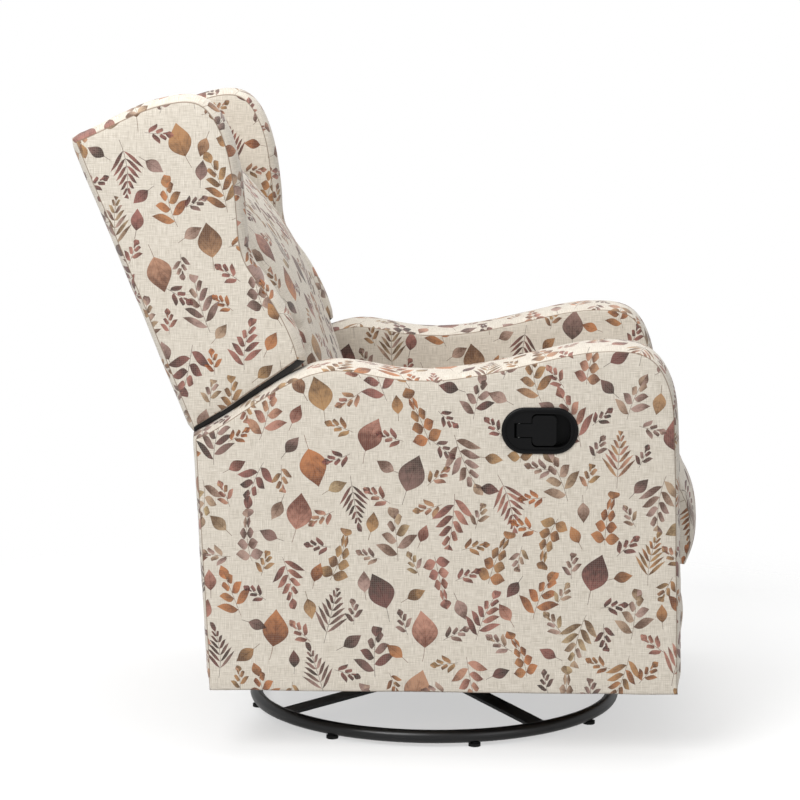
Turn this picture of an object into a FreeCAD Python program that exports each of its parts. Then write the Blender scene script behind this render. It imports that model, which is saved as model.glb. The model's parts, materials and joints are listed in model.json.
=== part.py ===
import FreeCAD, Part
import math
import os

from FreeCAD import Vector

# Swivel glider recliner, in millimetres. The origin is where the swivel axis meets the floor.
# +Z is up, the sitter faces -Y, and +X is the sitter's left. Side outlines are (y, z) pairs.

# Clearances
soft_gap = 0.5
side_gap = 0.5
running_clearance = 0.05
skirt_gap = 7.0
paddle_gap = 1.2

# Body and arms
overall_width = 740.0
arm_thickness = 125.0
arm_crown = 8.5
arm_padding = 20.0
underside_height = 107.0
body_rear = 350.0
body_front = -399.0
arm_rear_flare = 11.0
arm_rear_height = 515.0
arm_crest_height = 626.0
arm_dip_height = 611.0
arm_front_height = 659.0
frame_board = 18.0
frame_side_board = 15.0
arm_window_inset = 100.0
arm_window_sill = 40.0
arm_window_head = 140.0
arm_window_corner = 30.0
dust_cover_thickness = 3.0
rear_panel_thickness = 20.0
rear_panel_inset = 18.0
rear_panel_drop = 24.0

# Base ring
ring_radius = 310.6
ring_tube_radius = 11.0
glide_count = 8
glide_radius = 10.0
glide_pad_height = 5.0
glide_neck_radius = 6.0
glide_height = 6.0
glide_first_angle = 13.9
bar_width = 33.0
bar_thickness = 5.0
bar_first_angle = 36.4
bar_end_height = 22.0
bar_middle_height = 36.0
bar_flat_radius = 85.0

# Swivel bearing
hub_plate_radius = 80.0
hub_plate_thickness = 5.0
hub_bolt_count = 4
hub_bolt_radius = 4.0
hub_bolt_circle = 42.0
race_outer_radius = 78.0
race_inner_radius = 52.0
race_thickness = 7.0
race_split = 2.0
ball_radius = 4.0
ball_circle = 65.0
ball_count = 12
spindle_radius = 12.0
spindle_nut_radius = 17.0
spindle_nut_height = 8.0

# Steel links and plates
steel = 4.0
pin_radius = 5.0
pin_head_radius = 7.0
pin_head_height = 2.0
mechanism_inset = 95.0
link_width = 18.0

# Glide
glide_pivot_spread = 130.0
glide_pivot_height = 235.0
glide_link_length = 120.0
post_width = 30.0
carriage_plate_length = 180.0
carriage_foot = 44.0
carriage_bar_height = 30.0

# Chassis
rail_front = -190.0
rail_rear = 250.0
rail_low = 100.0
rail_flange_height = 132.0
rail_flange_width = 31.0
tube_size = 25.0
tube_wall = 2.5
upright_half_width = 15.0
upright_lap = 8.0
front_tube_y = -57.0
rear_tube_y = 230.0

# Seat linkage: standing links that lean back at rest and forward when reclined
seat_pivot_spread = 150.0
seat_pivot_height = 152.0
seat_link_length = 100.0
recline_angle = 35.0

# Recline pivot of the back
recline_y = 250.0
recline_z = 400.0

# Seat
seat_plate_front = -306.0
seat_plate_rear = 298.0
seat_plate_top = 295.0
seat_lug_length = 42.0
seat_flange_width = 30.0
seat_hole_count = 3
seat_hole_radius = 11.0
seat_frame_margin = 4.0
strap_end_inset = 20.0
seat_frame_front = -366.0
seat_frame_rear = 112.0
seat_rail_width = 62.0
seat_board = 25.0
strap_width = 50.0
strap_thickness = 2.0
seat_strap_count = 3
cushion_rear = 138.0
cushion_roll_low = 274.0
cushion_front_base = -424.0
cushion_front_bulge = -439.0
cushion_front_top = -392.0
cushion_edge_drop = 14.0
cushion_side_height = 458.0
cushion_crown_height = 490.0
cushion_draw_in = 9.0

# Footrest linkage: two parallel links, a coupler and a control link on each side
foot_link_length = 155.0
foot_link_angle = 255.0
foot_tail = 32.0
foot_rear_pivot = (-234.0, 276.0)
foot_front_pivot = (-292.0, 282.0)
bracket_pivot = (-355.0, 225.0)
torque_tube_radius = 9.0
torque_tube_reach = 95.0
bracket_flange_width = 26.0
bracket_flange_reach = 35.0
board_rear = -372.0
board_thickness = 18.0
board_low = 121.0
board_high = 264.0
foot_pad_seam = 8.5
foot_pad_crown = 25.0
foot_pad_back = 1.0
foot_pad_edge = 4.0

# Back, in its own frame: s runs up along the back, w runs forward from its rear face
back_origin_y = 352.0
back_origin_z = 520.0
back_lean = 23.8
wing_inset = 30.0
wing_thickness = 65.0
wing_crown = 12.0
wing_low_rear = 16.0
wing_low_front = 50.0
wing_foot_depth = 180.0
wing_waist_depth = 167.0
wing_ear_depth = 216.0
back_height = 505.0
back_skin = 7.0
back_frame_depth = 40.0
back_rail_width = 28.0
back_low_end = -95.0
back_well_top = 88.0
back_top_rail_drop = 55.0
back_mid_rail_drop = 265.0
back_rail_height = 38.0
back_strap_count = 5
wing_board = 12.0
wing_padding = 30.0
back_cushion_low = -128.0
back_cushion_depth = 196.0
back_cushion_side_drop = 30.0
back_top_roll = 16.0
back_panel_low = -148.0
back_post_drop = 20.0
lower_rail_lift = 30.0
back_strap_inset = 55.0
strap_side_inset = 4.0
bracket_width = 28.0
bracket_foot_height = -60.0
bracket_top_height = 110.0
bracket_notch_top = -75.0
bracket_notch_depth = 64.0
bracket_notch_gap = 2.0
well_lap = 10.0

# Release handle, on the sitter's right arm
handle_y = -176.0
handle_z = 532.0
bezel_length = 121.0
bezel_height = 74.0
bezel_proud = 6.0
bezel_wall = 3.0
bezel_cup_depth = 26.0
pocket_height = 53.0
pocket_front_corner = 21.0
pocket_rear_corner = 8.0
face_plate_depth = 3.0
rim_round = 3.6
lever_seat = 39.0
lever_neck_length = 27.0
lever_neck_height = 21.0
lever_paddle_length = 38.0
lever_paddle_height = 48.0
lever_paddle_corner = 7.6
lever_thickness = 8.0
lever_proud = 2.0
lever_pin_reach = 8.0
neck_lap = 4.0
lever_pin_radius = 2.5
lever_boss_radius = 6.0

half_width = overall_width / 2
arm_inner = half_width - arm_thickness
arm_middle = half_width - arm_thickness / 2
seat_half_width = arm_inner - skirt_gap
wing_outer = half_width - wing_inset
wing_inner = wing_outer - wing_thickness

# Side-by-side planes of the steel parts, as distances from the middle of the chair
post_inner = arm_inner - mechanism_inset
post_outer = post_inner + steel
glide_link_inner = post_outer + side_gap
glide_link_outer = glide_link_inner + steel
rail_web_inner = glide_link_outer + side_gap
rail_web_outer = rail_web_inner + steel
ear_outer = rail_web_inner + rail_flange_width
ear_inner = ear_outer - steel
seat_link_inner = ear_outer + side_gap
seat_link_outer = seat_link_inner + steel
seat_plate_inner = seat_link_outer + side_gap
seat_plate_outer = seat_plate_inner + steel
plane_a = seat_plate_outer + side_gap
plane_b = plane_a + steel + side_gap
plane_c = plane_b + steel + side_gap
plane_end = plane_c + steel

# Heights of the base and bearing
ring_height = glide_height + ring_tube_radius
hub_height = bar_middle_height + bar_thickness
race_low = hub_height + hub_plate_thickness
race_top = race_low + 2 * race_thickness + race_split
ball_height = race_low + race_thickness + race_split / 2
carriage_height = race_top
carriage_foot_height = carriage_height + steel


def yz(point, x=0.0):
    return Vector(x, point[0], point[1])


def polar(center, radius, angle):
    """Point at a radius and angle from a side-plane point: 0 is forward, 90 is up."""
    turn = math.radians(angle)
    return (center[0] - radius * math.cos(turn), center[1] + radius * math.sin(turn))


def polygon(points, x=0.0):
    corners = [yz(p, x) for p in points]
    return Part.Face(Part.makePolygon(corners + [corners[0]]))


def extrude_x(face, x0, x1):
    solid = face.extrude(Vector(x1 - x0, 0, 0))
    solid.translate(Vector(x0, 0, 0))
    return solid


def box(x0, x1, y0, y1, z0, z1):
    return Part.makeBox(x1 - x0, y1 - y0, z1 - z0, Vector(x0, y0, z0))


def rod_x(point, radius, x0, x1):
    return Part.makeCylinder(radius, x1 - x0, yz(point, x0), Vector(1, 0, 0))


def obround(p, q, radius):
    """Flat face with round ends about two side-plane points."""
    a = yz(p)
    b = yz(q)
    along = (b - a).normalize() * radius
    side = Vector(0, -along.z, along.y)
    edges = [
        Part.makeLine(a + side, b + side),
        Part.Arc(b + side, b + along, b - side).toShape(),
        Part.makeLine(b - side, a - side),
        Part.Arc(a - side, a - along, a + side).toShape(),
    ]
    return Part.Face(Part.Wire(edges))


def flat_bar(points, x0, holes, width=link_width):
    """Flat steel bar through a chain of points, with round ends and bored holes."""
    bar = None
    for p, q in zip(points, points[1:]):
        length = extrude_x(obround(p, q, width / 2), x0, x0 + steel)
        bar = length if bar is None else bar.fuse(length)
    for point, radius in holes:
        bar = bar.cut(rod_x(point, radius, x0 - 1, x0 + steel + 1))
    return bar.removeSplitter()


def pin(point, x0, x1, inner_head=True, outer_head=True):
    """Shouldered rivet between two planes, with flat heads outside them."""
    shank = rod_x(point, pin_radius, x0, x1)
    if inner_head:
        shank = shank.fuse(rod_x(point, pin_head_radius, x0 - pin_head_height, x0))
    if outer_head:
        shank = shank.fuse(rod_x(point, pin_head_radius, x1, x1 + pin_head_height))
    return shank.removeSplitter()


def mirrored(solid):
    return solid.mirror(Vector(0, 0, 0), Vector(1, 0, 0))


def both(solids):
    """The given solids of the left side and their copies on the right."""
    return list(solids) + [mirrored(s) for s in solids]


def ring_of(solid, count, first_angle=0.0):
    copies = []
    for index in range(count):
        copy = solid.copy()
        copy.rotate(Vector(0, 0, 0), Vector(0, 0, 1), first_angle + index * 360.0 / count)
        copies.append(copy)
    return copies


def smooth_edge(points, x=0.0):
    curve = Part.BSplineCurve()
    curve.interpolate([yz(p, x) for p in points])
    return curve.toShape()


def shifted(points, distance):
    """The points of an outline moved square to it, outward for a positive distance."""
    moved = []
    last = len(points) - 1
    for index, (y, z) in enumerate(points):
        before = points[max(index - 1, 0)]
        after = points[min(index + 1, last)]
        dy, dz = after[0] - before[0], after[1] - before[1]
        size = math.hypot(dy, dz)
        moved.append((y + distance * dz / size, z - distance * dy / size))
    return moved


running_hole = pin_radius + running_clearance
fixed_hole = pin_radius
nodes = {}

# Base ring, cross and floor glides

ring = Part.makeTorus(ring_radius, ring_tube_radius, Vector(0, 0, ring_height))


def cross_bar():
    """Flat bar across the ring, rising to a level middle."""
    low = bar_end_height - bar_thickness
    high = bar_middle_height
    side = [(-ring_radius, low), (-bar_flat_radius, high), (bar_flat_radius, high), (ring_radius, low),
            (ring_radius, low + bar_thickness), (bar_flat_radius, high + bar_thickness),
            (-bar_flat_radius, high + bar_thickness), (-ring_radius, low + bar_thickness)]
    return extrude_x(polygon(side), -bar_width / 2, bar_width / 2)


def base_cross():
    cross = None
    for angle in (bar_first_angle - 90.0, bar_first_angle):
        bar = cross_bar()
        bar.rotate(Vector(0, 0, 0), Vector(0, 0, 1), angle)
        cross = bar if cross is None else cross.fuse(bar)
    spindle_bore = Part.makeCylinder(spindle_radius, hub_height, Vector(0, 0, 0))
    cross = cross.cut(ring).cut(spindle_bore)
    for bolt in hub_bolts():
        cross = cross.cut(bolt)
    return cross.removeSplitter()


def hub_bolts():
    shank = Part.makeCylinder(hub_bolt_radius, race_low - bar_middle_height,
                              Vector(hub_bolt_circle, 0, bar_middle_height))
    bolt_head = Part.makeCylinder(2 * hub_bolt_radius, hub_bolt_radius,
                                  Vector(hub_bolt_circle, 0, bar_middle_height - hub_bolt_radius))
    return ring_of(shank.fuse(bolt_head).removeSplitter(), hub_bolt_count, bar_first_angle)


def floor_glide():
    """Plastic pad on a neck that is hollowed to sit under the ring's tube."""
    pad = Part.makeCylinder(glide_radius, glide_pad_height, Vector(ring_radius, 0, 0))
    neck = Part.makeCylinder(glide_neck_radius, ring_height - glide_pad_height,
                             Vector(ring_radius, 0, glide_pad_height))
    return pad.fuse(neck).cut(ring).removeSplitter()


def hub_plate():
    plate = Part.makeCylinder(hub_plate_radius, hub_plate_thickness, Vector(0, 0, hub_height))
    plate = plate.cut(Part.makeCylinder(spindle_radius, race_top))
    for bolt in hub_bolts():
        plate = plate.cut(bolt)
    return plate


def race(low):
    """Bearing race with a groove for the balls, its lower face at the given height."""
    plate = Part.makeCylinder(race_outer_radius, race_thickness, Vector(0, 0, low))
    plate = plate.cut(Part.makeCylinder(race_inner_radius, race_thickness, Vector(0, 0, low)))
    groove = Part.makeTorus(ball_circle, ball_radius + running_clearance, Vector(0, 0, ball_height))
    return plate.cut(groove)


def spindle():
    stem = Part.makeCylinder(spindle_radius, nut_height - bar_middle_height + spindle_nut_height,
                             Vector(0, 0, bar_middle_height))
    corners = [Vector(spindle_nut_radius * math.cos(math.radians(60 * k)),
                      spindle_nut_radius * math.sin(math.radians(60 * k)), nut_height)
               for k in range(7)]
    nut = Part.Face(Part.makePolygon(corners)).extrude(Vector(0, 0, spindle_nut_height))
    return stem.fuse(nut).removeSplitter()


nut_height = carriage_height + steel + side_gap
nodes["base_ring"] = [ring]
nodes["base_cross"] = [base_cross()]
nodes["floor_glides"] = ring_of(floor_glide(), glide_count, glide_first_angle)
nodes["hub_plate"] = [hub_plate()]
nodes["hub_bolts"] = hub_bolts()
nodes["lower_race"] = [race(race_low)]
ball = Part.makeSphere(ball_radius, Vector(ball_circle, 0, ball_height))
nodes["bearing_balls"] = ring_of(ball, ball_count)
nodes["spindle"] = [spindle()]

# Turntable: upper race, carriage plate and the upstands that the glide links hang from

glide_tops = [(-glide_pivot_spread, glide_pivot_height), (glide_pivot_spread, glide_pivot_height)]
glide_feet = [(y, z - glide_link_length) for y, z in glide_tops]


def carriage_plate():
    half = carriage_plate_length / 2
    plate = box(-post_outer, post_outer, -half, half, carriage_height, carriage_foot_height)
    bore = Part.makeCylinder(spindle_radius + running_clearance, race_top + steel)
    return plate.cut(bore)


def carriage_rail():
    """Bar with a foot flange and two upstands, bored for the glide pins."""
    half = post_width / 2
    reach = glide_pivot_spread
    low = carriage_foot_height
    bar_top = low + carriage_bar_height
    face = polygon([(-reach - half, low), (reach + half, low), (reach + half, bar_top),
                    (-reach - half, bar_top)])
    rail = extrude_x(face, post_inner, post_outer)
    for top in glide_tops:
        post = obround(top, (top[0], low + half), half)
        rail = rail.fuse(extrude_x(post, post_inner, post_outer))
    foot_half = carriage_plate_length / 2
    foot = box(post_outer - carriage_foot, post_outer, -foot_half, foot_half, low, low + steel)
    rail = rail.fuse(foot)
    for top in glide_tops:
        rail = rail.cut(rod_x(top, fixed_hole, post_inner - 1, post_outer + 1))
    return rail.removeSplitter()


nodes["upper_race"] = [race(race_low + race_thickness + race_split)]
nodes["carriage_plate"] = [carriage_plate()]
left_rail = carriage_rail()
nodes["carriage_rail_left"] = [left_rail]
nodes["carriage_rail_right"] = [mirrored(left_rail)]
nodes["upper_glide_pins"] = both([pin(p, post_inner, glide_link_outer) for p in glide_tops])


def glide_link(top, foot):
    holes = [(top, running_hole), (foot, running_hole)]
    return flat_bar([top, foot], glide_link_inner, holes)


nodes["glide_links_front"] = both([glide_link(glide_tops[0], glide_feet[0])])
nodes["glide_links_rear"] = both([glide_link(glide_tops[1], glide_feet[1])])

# Chassis: rails, cross tubes and back uprights

half_swing = math.radians(recline_angle / 2)
seat_feet = [(-seat_pivot_spread, seat_pivot_height), (seat_pivot_spread, seat_pivot_height)]
seat_tops = [(y + seat_link_length * math.sin(half_swing), z + seat_link_length * math.cos(half_swing))
             for y, z in seat_feet]
recline_pivot = (recline_y, recline_z)
drive_pivot = (recline_y + seat_link_length * math.sin(half_swing),
               recline_z - seat_link_length * math.cos(half_swing))
drive_lift = 2 * seat_link_length * (1 - math.cos(half_swing))
tube_low = rail_flange_height
tube_high = tube_low + tube_size


def cross_tube(y):
    half = tube_size / 2
    reach = arm_inner + arm_padding
    tube = box(-reach, reach, y - half, y + half, tube_low, tube_high)
    inside = half - tube_wall
    return tube.cut(box(-reach, reach, y - inside, y + inside, tube_low + tube_wall, tube_high - tube_wall))


def tube_block(y, reach):
    half = tube_size / 2
    return box(-reach, reach, y - half, y + half, tube_low, tube_high)


def chassis_rail():
    """Pressed rail of Z section: a web for the glide pins and two ears for the seat links."""
    flange_low = rail_flange_height - steel
    web = box(rail_web_inner, rail_web_outer, rail_front, rail_rear, rail_low, rail_flange_height)
    flange = box(rail_web_inner, ear_outer, rail_front, rail_rear, flange_low, rail_flange_height)
    rail = web.fuse(flange)
    half = post_width / 2
    for y, z in seat_feet:
        rail = rail.fuse(extrude_x(obround((y, z), (y, flange_low + half), half), ear_inner, ear_outer))
    below = box(ear_inner - 1, ear_outer + 1, rail_front, rail_rear, 0, flange_low)
    rail = rail.cut(below)
    for point in glide_feet:
        rail = rail.cut(rod_x(point, fixed_hole, rail_web_inner - 1, rail_web_outer + 1))
    for point in seat_feet:
        rail = rail.cut(rod_x(point, fixed_hole, ear_inner - 1, ear_outer + 1))
    return rail.removeSplitter()


def back_upright():
    """Plate on the rear cross tube that carries the recline pivot."""
    half = upright_half_width
    face = obround(recline_pivot, (recline_y, tube_high + half), half)
    plate = extrude_x(face, plane_b, plane_b + steel)
    base = box(plane_b, plane_b + steel, rear_tube_y - tube_size, recline_y + half,
               tube_low - upright_lap, tube_high + tube_size)
    plate = plate.fuse(base).cut(tube_block(rear_tube_y, half_width))
    return plate.cut(rod_x(recline_pivot, fixed_hole, plane_b - 1, plane_b + steel + 1)).removeSplitter()


left_chassis = chassis_rail()
nodes["chassis_rail_left"] = [left_chassis]
nodes["chassis_rail_right"] = [mirrored(left_chassis)]
nodes["front_cross_tube"] = [cross_tube(front_tube_y)]
nodes["rear_cross_tube"] = [cross_tube(rear_tube_y)]
nodes["back_uprights"] = both([back_upright()])
chassis_pins = [pin(p, glide_link_inner, rail_web_outer, inner_head=False) for p in glide_feet]
chassis_pins += [pin(p, ear_inner, seat_link_outer, outer_head=False) for p in seat_feet]
chassis_pins.append(pin(recline_pivot, plane_a, plane_b + steel, inner_head=False))
nodes["chassis_pins"] = both(chassis_pins)

# Arms: wooden box frames inside padded covers with a crowned band

arm_top_points = [
    (body_rear + arm_rear_flare, arm_rear_height),
    (body_rear - 79.0, arm_crest_height - 53.0),
    (body_rear - 145.0, arm_crest_height - 14.0),
    (body_rear - 200.0, arm_crest_height),
    (body_rear - 268.0, arm_dip_height + 7.0),
    (body_rear - 337.0, arm_dip_height),
    (body_front + 329.0, arm_dip_height + 7.0),
    (body_front + 244.0, arm_front_height - 23.0),
    (body_front + 159.0, arm_front_height - 4.0),
    (body_front + 99.0, arm_front_height),
    (body_front + 53.0, arm_front_height - 12.0),
    (body_front + 27.0, arm_front_height - 49.0),
    (body_front + 14.0, arm_front_height - 139.0),
    (body_front + 9.0, arm_front_height - 256.0),
    (body_front + 5.0, arm_front_height - 379.0),
]


def arm_outline(x, grow=0.0, floor=underside_height):
    """Closed side outline of an arm, grown square to the seam by the given amount."""
    top = shifted([(y, z) for y, z in reversed(arm_top_points)], -grow)
    top.reverse()
    rear_low = (body_rear + grow, floor)
    front_low = (body_front - grow, floor)
    edges = [
        Part.makeLine(yz(front_low, x), yz(rear_low, x)),
        Part.makeLine(yz(rear_low, x), yz(top[0], x)),
        smooth_edge(top, x),
        Part.makeLine(yz(top[-1], x), yz(front_low, x)),
    ]
    return Part.Wire(edges)


def arm_slab(x0, x1, grow, floor=underside_height):
    return extrude_x(Part.Face(arm_outline(0.0, grow, floor)), x0, x1)


frame_inner = arm_inner + arm_padding
frame_outer = half_width - arm_padding


def arm_frame():
    """Plywood box that follows the arm's outline, open below, with a window through its sides."""
    frame = arm_slab(frame_inner, frame_outer, -arm_padding)
    hollow = arm_slab(frame_inner + frame_side_board, frame_outer - frame_side_board,
                      -arm_padding - frame_board)
    window = box(frame_inner - 1, frame_outer + 1, body_front + arm_window_inset,
                 body_rear - arm_window_inset, tube_high + arm_window_sill, arm_dip_height - arm_window_head)
    window = window.makeFillet(arm_window_corner, [e for e in window.Edges if abs(e.tangentAt(0).x) > 0.9])
    return frame.cut(hollow).cut(window)


def arm_upholstery():
    """Padded cover: flat sides at the seams, with a crowned band across the top and front."""
    sections = [arm_outline(arm_inner), arm_outline(arm_middle, arm_crown), arm_outline(half_width)]
    cover = Part.makeLoft(sections, True, False)
    cover = cover.cut(arm_slab(frame_inner, frame_outer, -arm_padding))
    for y in (front_tube_y, rear_tube_y):
        cover = cover.cut(tube_block(y, frame_inner))
    return cover


def arm_dust_cover():
    """Thin board that closes the arm frame's open underside."""
    edge = arm_padding + frame_board + soft_gap
    return box(frame_inner + frame_side_board, frame_outer - frame_side_board, body_front + edge,
               body_rear - edge, underside_height, underside_height + dust_cover_thickness)


def obround_yz(length, height, x0, x1, grow=0.0):
    """Upright-sided obround about the handle's centre, along the seat's depth."""
    radius = height / 2
    reach = length / 2 - radius
    face = obround((handle_y - reach, handle_z), (handle_y + reach, handle_z), radius + grow)
    return extrude_x(face, x0, x1)


arm_face = -half_width
cup_floor = arm_face + bezel_cup_depth
bezel_face = arm_face - bezel_proud
cup_length = bezel_length - 2 * bezel_proud
cup_height = bezel_height - 2 * bezel_proud
cup_outside = obround_yz(cup_length, cup_height, bezel_face, cup_floor)
cup_room = obround_yz(cup_length, cup_height, bezel_face, cup_floor + 1.0, soft_gap)
left_frame = arm_frame()
left_cover = arm_upholstery()
nodes["arm_frame_left"] = [left_frame]
nodes["arm_frame_right"] = [mirrored(left_frame).cut(cup_room)]
nodes["arm_upholstery_left"] = [left_cover]
nodes["arm_upholstery_right"] = [mirrored(left_cover).cut(cup_room)]
nodes["arm_dust_covers"] = both([arm_dust_cover()])
rear_panel_rear = body_rear - rear_panel_inset
nodes["rear_panel"] = [box(-arm_inner, arm_inner, rear_panel_rear - rear_panel_thickness, rear_panel_rear,
                           underside_height, recline_z - rear_panel_drop)]

# Release handle: cup-shaped bezel, pull lever on an upright pin, and its return spring

neck_rear_y = handle_y + lever_seat
paddle_rear_y = neck_rear_y - lever_neck_length
paddle_front_y = paddle_rear_y - lever_paddle_length
pocket_front_y = handle_y - bezel_length / 2 + 2 * bezel_proud
lever_axis = Vector(arm_face + lever_thickness / 2, neck_rear_y - lever_boss_radius, handle_z)
lever_outer = arm_face - lever_proud


def keyhole(grow, x0, x1):
    """Opening for the lever: a slot for its neck and a wide pocket round its paddle."""
    half_neck = lever_neck_height / 2 + grow
    half_pocket = pocket_height / 2 - paddle_gap + grow
    neck = box(x0, x1, paddle_rear_y - neck_lap, neck_rear_y + grow,
               handle_z - half_neck, handle_z + half_neck)
    pocket = box(x0, x1, pocket_front_y, paddle_rear_y + grow,
                 handle_z - half_pocket, handle_z + half_pocket)
    upright = [e for e in pocket.Edges if abs(e.tangentAt(0).x) > 0.9]
    front = [e for e in upright if e.CenterOfMass.y < handle_y]
    pocket = pocket.makeFillet(pocket_front_corner, front)
    rear = [e for e in pocket.Edges if abs(e.CenterOfMass.y - paddle_rear_y - grow) < 0.01
            and e.BoundBox.XLength > 1.0]
    pocket = pocket.makeFillet(pocket_rear_corner, rear)
    return neck.fuse(pocket)


def handle_bezel():
    rim = obround_yz(bezel_length, bezel_height, bezel_face, arm_face)
    outer = [e for e in rim.Edges if abs(e.CenterOfMass.x - bezel_face) < 0.01]
    rim = rim.makeFillet(rim_round, outer)
    bezel = rim.fuse(obround_yz(cup_length, cup_height, arm_face - 1.0, cup_floor))
    face_plate = obround_yz(bezel_length - 2 * bezel_proud, bezel_height - 2 * bezel_proud,
                            bezel_face - 1.0, bezel_face + face_plate_depth)
    bezel = bezel.cut(face_plate)
    bezel = bezel.cut(keyhole(paddle_gap, bezel_face - 1.0, cup_floor - bezel_wall))
    return bezel.cut(pin_hole(lever_pin_radius))


def pin_hole(radius):
    reach = lever_neck_height / 2 + lever_pin_reach
    return Part.makeCylinder(radius, 2 * reach, lever_axis - Vector(0, 0, reach))


def release_lever():
    """Neck with a boss round its pin, widening to a rounded paddle."""
    x0, x1 = lever_outer, lever_outer + lever_thickness
    half_neck = lever_neck_height / 2
    half_paddle = lever_paddle_height / 2
    neck = box(x0, x1, paddle_rear_y - neck_lap, lever_axis.y, handle_z - half_neck, handle_z + half_neck)
    boss = Part.makeCylinder(lever_boss_radius, 2 * half_neck,
                             lever_axis - Vector(0, 0, half_neck))
    paddle = box(x0, x1, paddle_front_y, paddle_rear_y, handle_z - half_paddle, handle_z + half_paddle)
    upright = [e for e in paddle.Edges if abs(e.tangentAt(0).x) > 0.9]
    paddle = paddle.makeFillet(lever_paddle_corner, upright)
    lever = neck.fuse(paddle).fuse(boss).removeSplitter()
    return lever.cut(pin_hole(lever_pin_radius + running_clearance))


nodes["handle_bezel"] = [handle_bezel()]
nodes["release_lever"] = [release_lever()]
nodes["lever_pin"] = [pin_hole(lever_pin_radius)]

# Seat: links, plates, wooden frame, straps and cushion


def seat_link(foot, top):
    return flat_bar([foot, top], seat_link_inner, [(foot, running_hole), (top, running_hole)])


def seat_plate():
    """Steel side plate with a flange under the frame and an upright slot for the back's drive pin."""
    low = seat_tops[0][1] - link_width / 2 - steel
    nose = foot_rear_pivot[1] - link_width
    lug_top = drive_pivot[1] + link_width / 2
    lug_low = drive_pivot[1] - drive_lift - link_width / 2 - steel
    lug_front = seat_plate_rear - seat_lug_length
    points = [(seat_plate_front, nose + steel), (seat_plate_front, seat_plate_top),
              (lug_front - link_width, seat_plate_top), (lug_front, lug_top),
              (seat_plate_rear, lug_top), (seat_plate_rear, lug_low),
              (lug_front, low), (seat_tops[0][0] - link_width, low), (foot_rear_pivot[0] + steel, nose)]
    plate = extrude_x(polygon(points), seat_plate_inner, seat_plate_outer)
    flange = box(seat_plate_inner - seat_flange_width, seat_plate_outer, seat_plate_front, seat_frame_rear,
                 seat_plate_top - steel, seat_plate_top)
    plate = plate.fuse(flange)
    for point in seat_tops + [foot_rear_pivot, foot_front_pivot]:
        plate = plate.cut(rod_x(point, fixed_hole, seat_plate_inner - 1, seat_plate_outer + 1))
    slot = obround(drive_pivot, (drive_pivot[0], drive_pivot[1] - drive_lift),
                   running_hole + running_clearance)
    plate = plate.cut(extrude_x(slot, seat_plate_inner - 1, seat_plate_outer + 1))
    spacing = (seat_tops[1][0] - seat_tops[0][0]) / (seat_hole_count + 1)
    middle = (low + seat_plate_top - steel) / 2
    for step in range(seat_hole_count):
        hole = rod_x((seat_tops[0][0] + spacing * (step + 1), middle), seat_hole_radius,
                     seat_plate_inner - 1, seat_plate_outer + 1)
        plate = plate.cut(hole)
    return plate.removeSplitter()


frame_top = seat_plate_top + seat_board
strap_top = frame_top + 2 * strap_thickness


def seat_frame():
    reach = seat_half_width - seat_frame_margin
    frame = box(-reach, reach, seat_frame_front, seat_frame_rear, seat_plate_top, frame_top)
    window = box(-reach + seat_rail_width, reach - seat_rail_width, seat_frame_front + seat_rail_width,
                 seat_frame_rear - seat_rail_width, seat_plate_top, frame_top)
    return frame.cut(window)


def seat_webbing():
    """Straps along the seat with straps across them."""
    straps = []
    reach = seat_half_width - seat_frame_margin
    depth = seat_frame_rear - seat_frame_front
    for index in range(seat_strap_count):
        x = (index - (seat_strap_count - 1) / 2) * 2 * (reach - seat_rail_width) / seat_strap_count
        straps.append(box(x - strap_width / 2, x + strap_width / 2, seat_frame_front + strap_end_inset,
                          seat_frame_rear - strap_end_inset, frame_top, frame_top + strap_thickness))
    for index in range(seat_strap_count):
        y = seat_frame_front + depth * (index + 1) / (seat_strap_count + 1)
        straps.append(box(-reach + strap_end_inset, reach - strap_end_inset, y - strap_width / 2,
                          y + strap_width / 2, frame_top + strap_thickness, strap_top))
    return straps


def cushion_section(x, crown, draw):
    """Side outline of the seat cushion at one station, with its front roll hung over the frame."""
    low = strap_top + soft_gap
    height = cushion_side_height + crown
    roll_rear = seat_frame_front - soft_gap
    front_low = (cushion_front_base + draw, cushion_roll_low)
    front_mid = (cushion_front_bulge + draw, (cushion_roll_low + height - cushion_edge_drop) / 2)
    front_high = (cushion_front_top + draw, height - cushion_edge_drop)
    top_mid = ((cushion_front_top + cushion_rear) / 2, height)
    rear_high = (cushion_rear - draw, height - cushion_edge_drop)
    rear_low = (cushion_rear - draw, low)
    edges = [
        Part.makeLine(yz(rear_low, x), yz((roll_rear, low), x)),
        Part.makeLine(yz((roll_rear, low), x), yz((roll_rear, cushion_roll_low), x)),
        Part.makeLine(yz((roll_rear, cushion_roll_low), x), yz(front_low, x)),
        Part.Arc(yz(front_low, x), yz(front_mid, x), yz(front_high, x)).toShape(),
        Part.Arc(yz(front_high, x), yz(top_mid, x), yz(rear_high, x)).toShape(),
        Part.makeLine(yz(rear_high, x), yz(rear_low, x)),
    ]
    return Part.Wire(edges)


def seat_cushion():
    edge = seat_half_width
    stations = [(-edge, 0.0, 1.0), (-edge * 0.8, 0.75, 0.15), (0.0, 1.0, 0.0),
                (edge * 0.8, 0.75, 0.15), (edge, 0.0, 1.0)]
    crown = cushion_crown_height - cushion_side_height
    sections = [cushion_section(x, crown * rise, cushion_draw_in * pull) for x, rise, pull in stations]
    return Part.makeLoft(sections, True, False)


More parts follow.
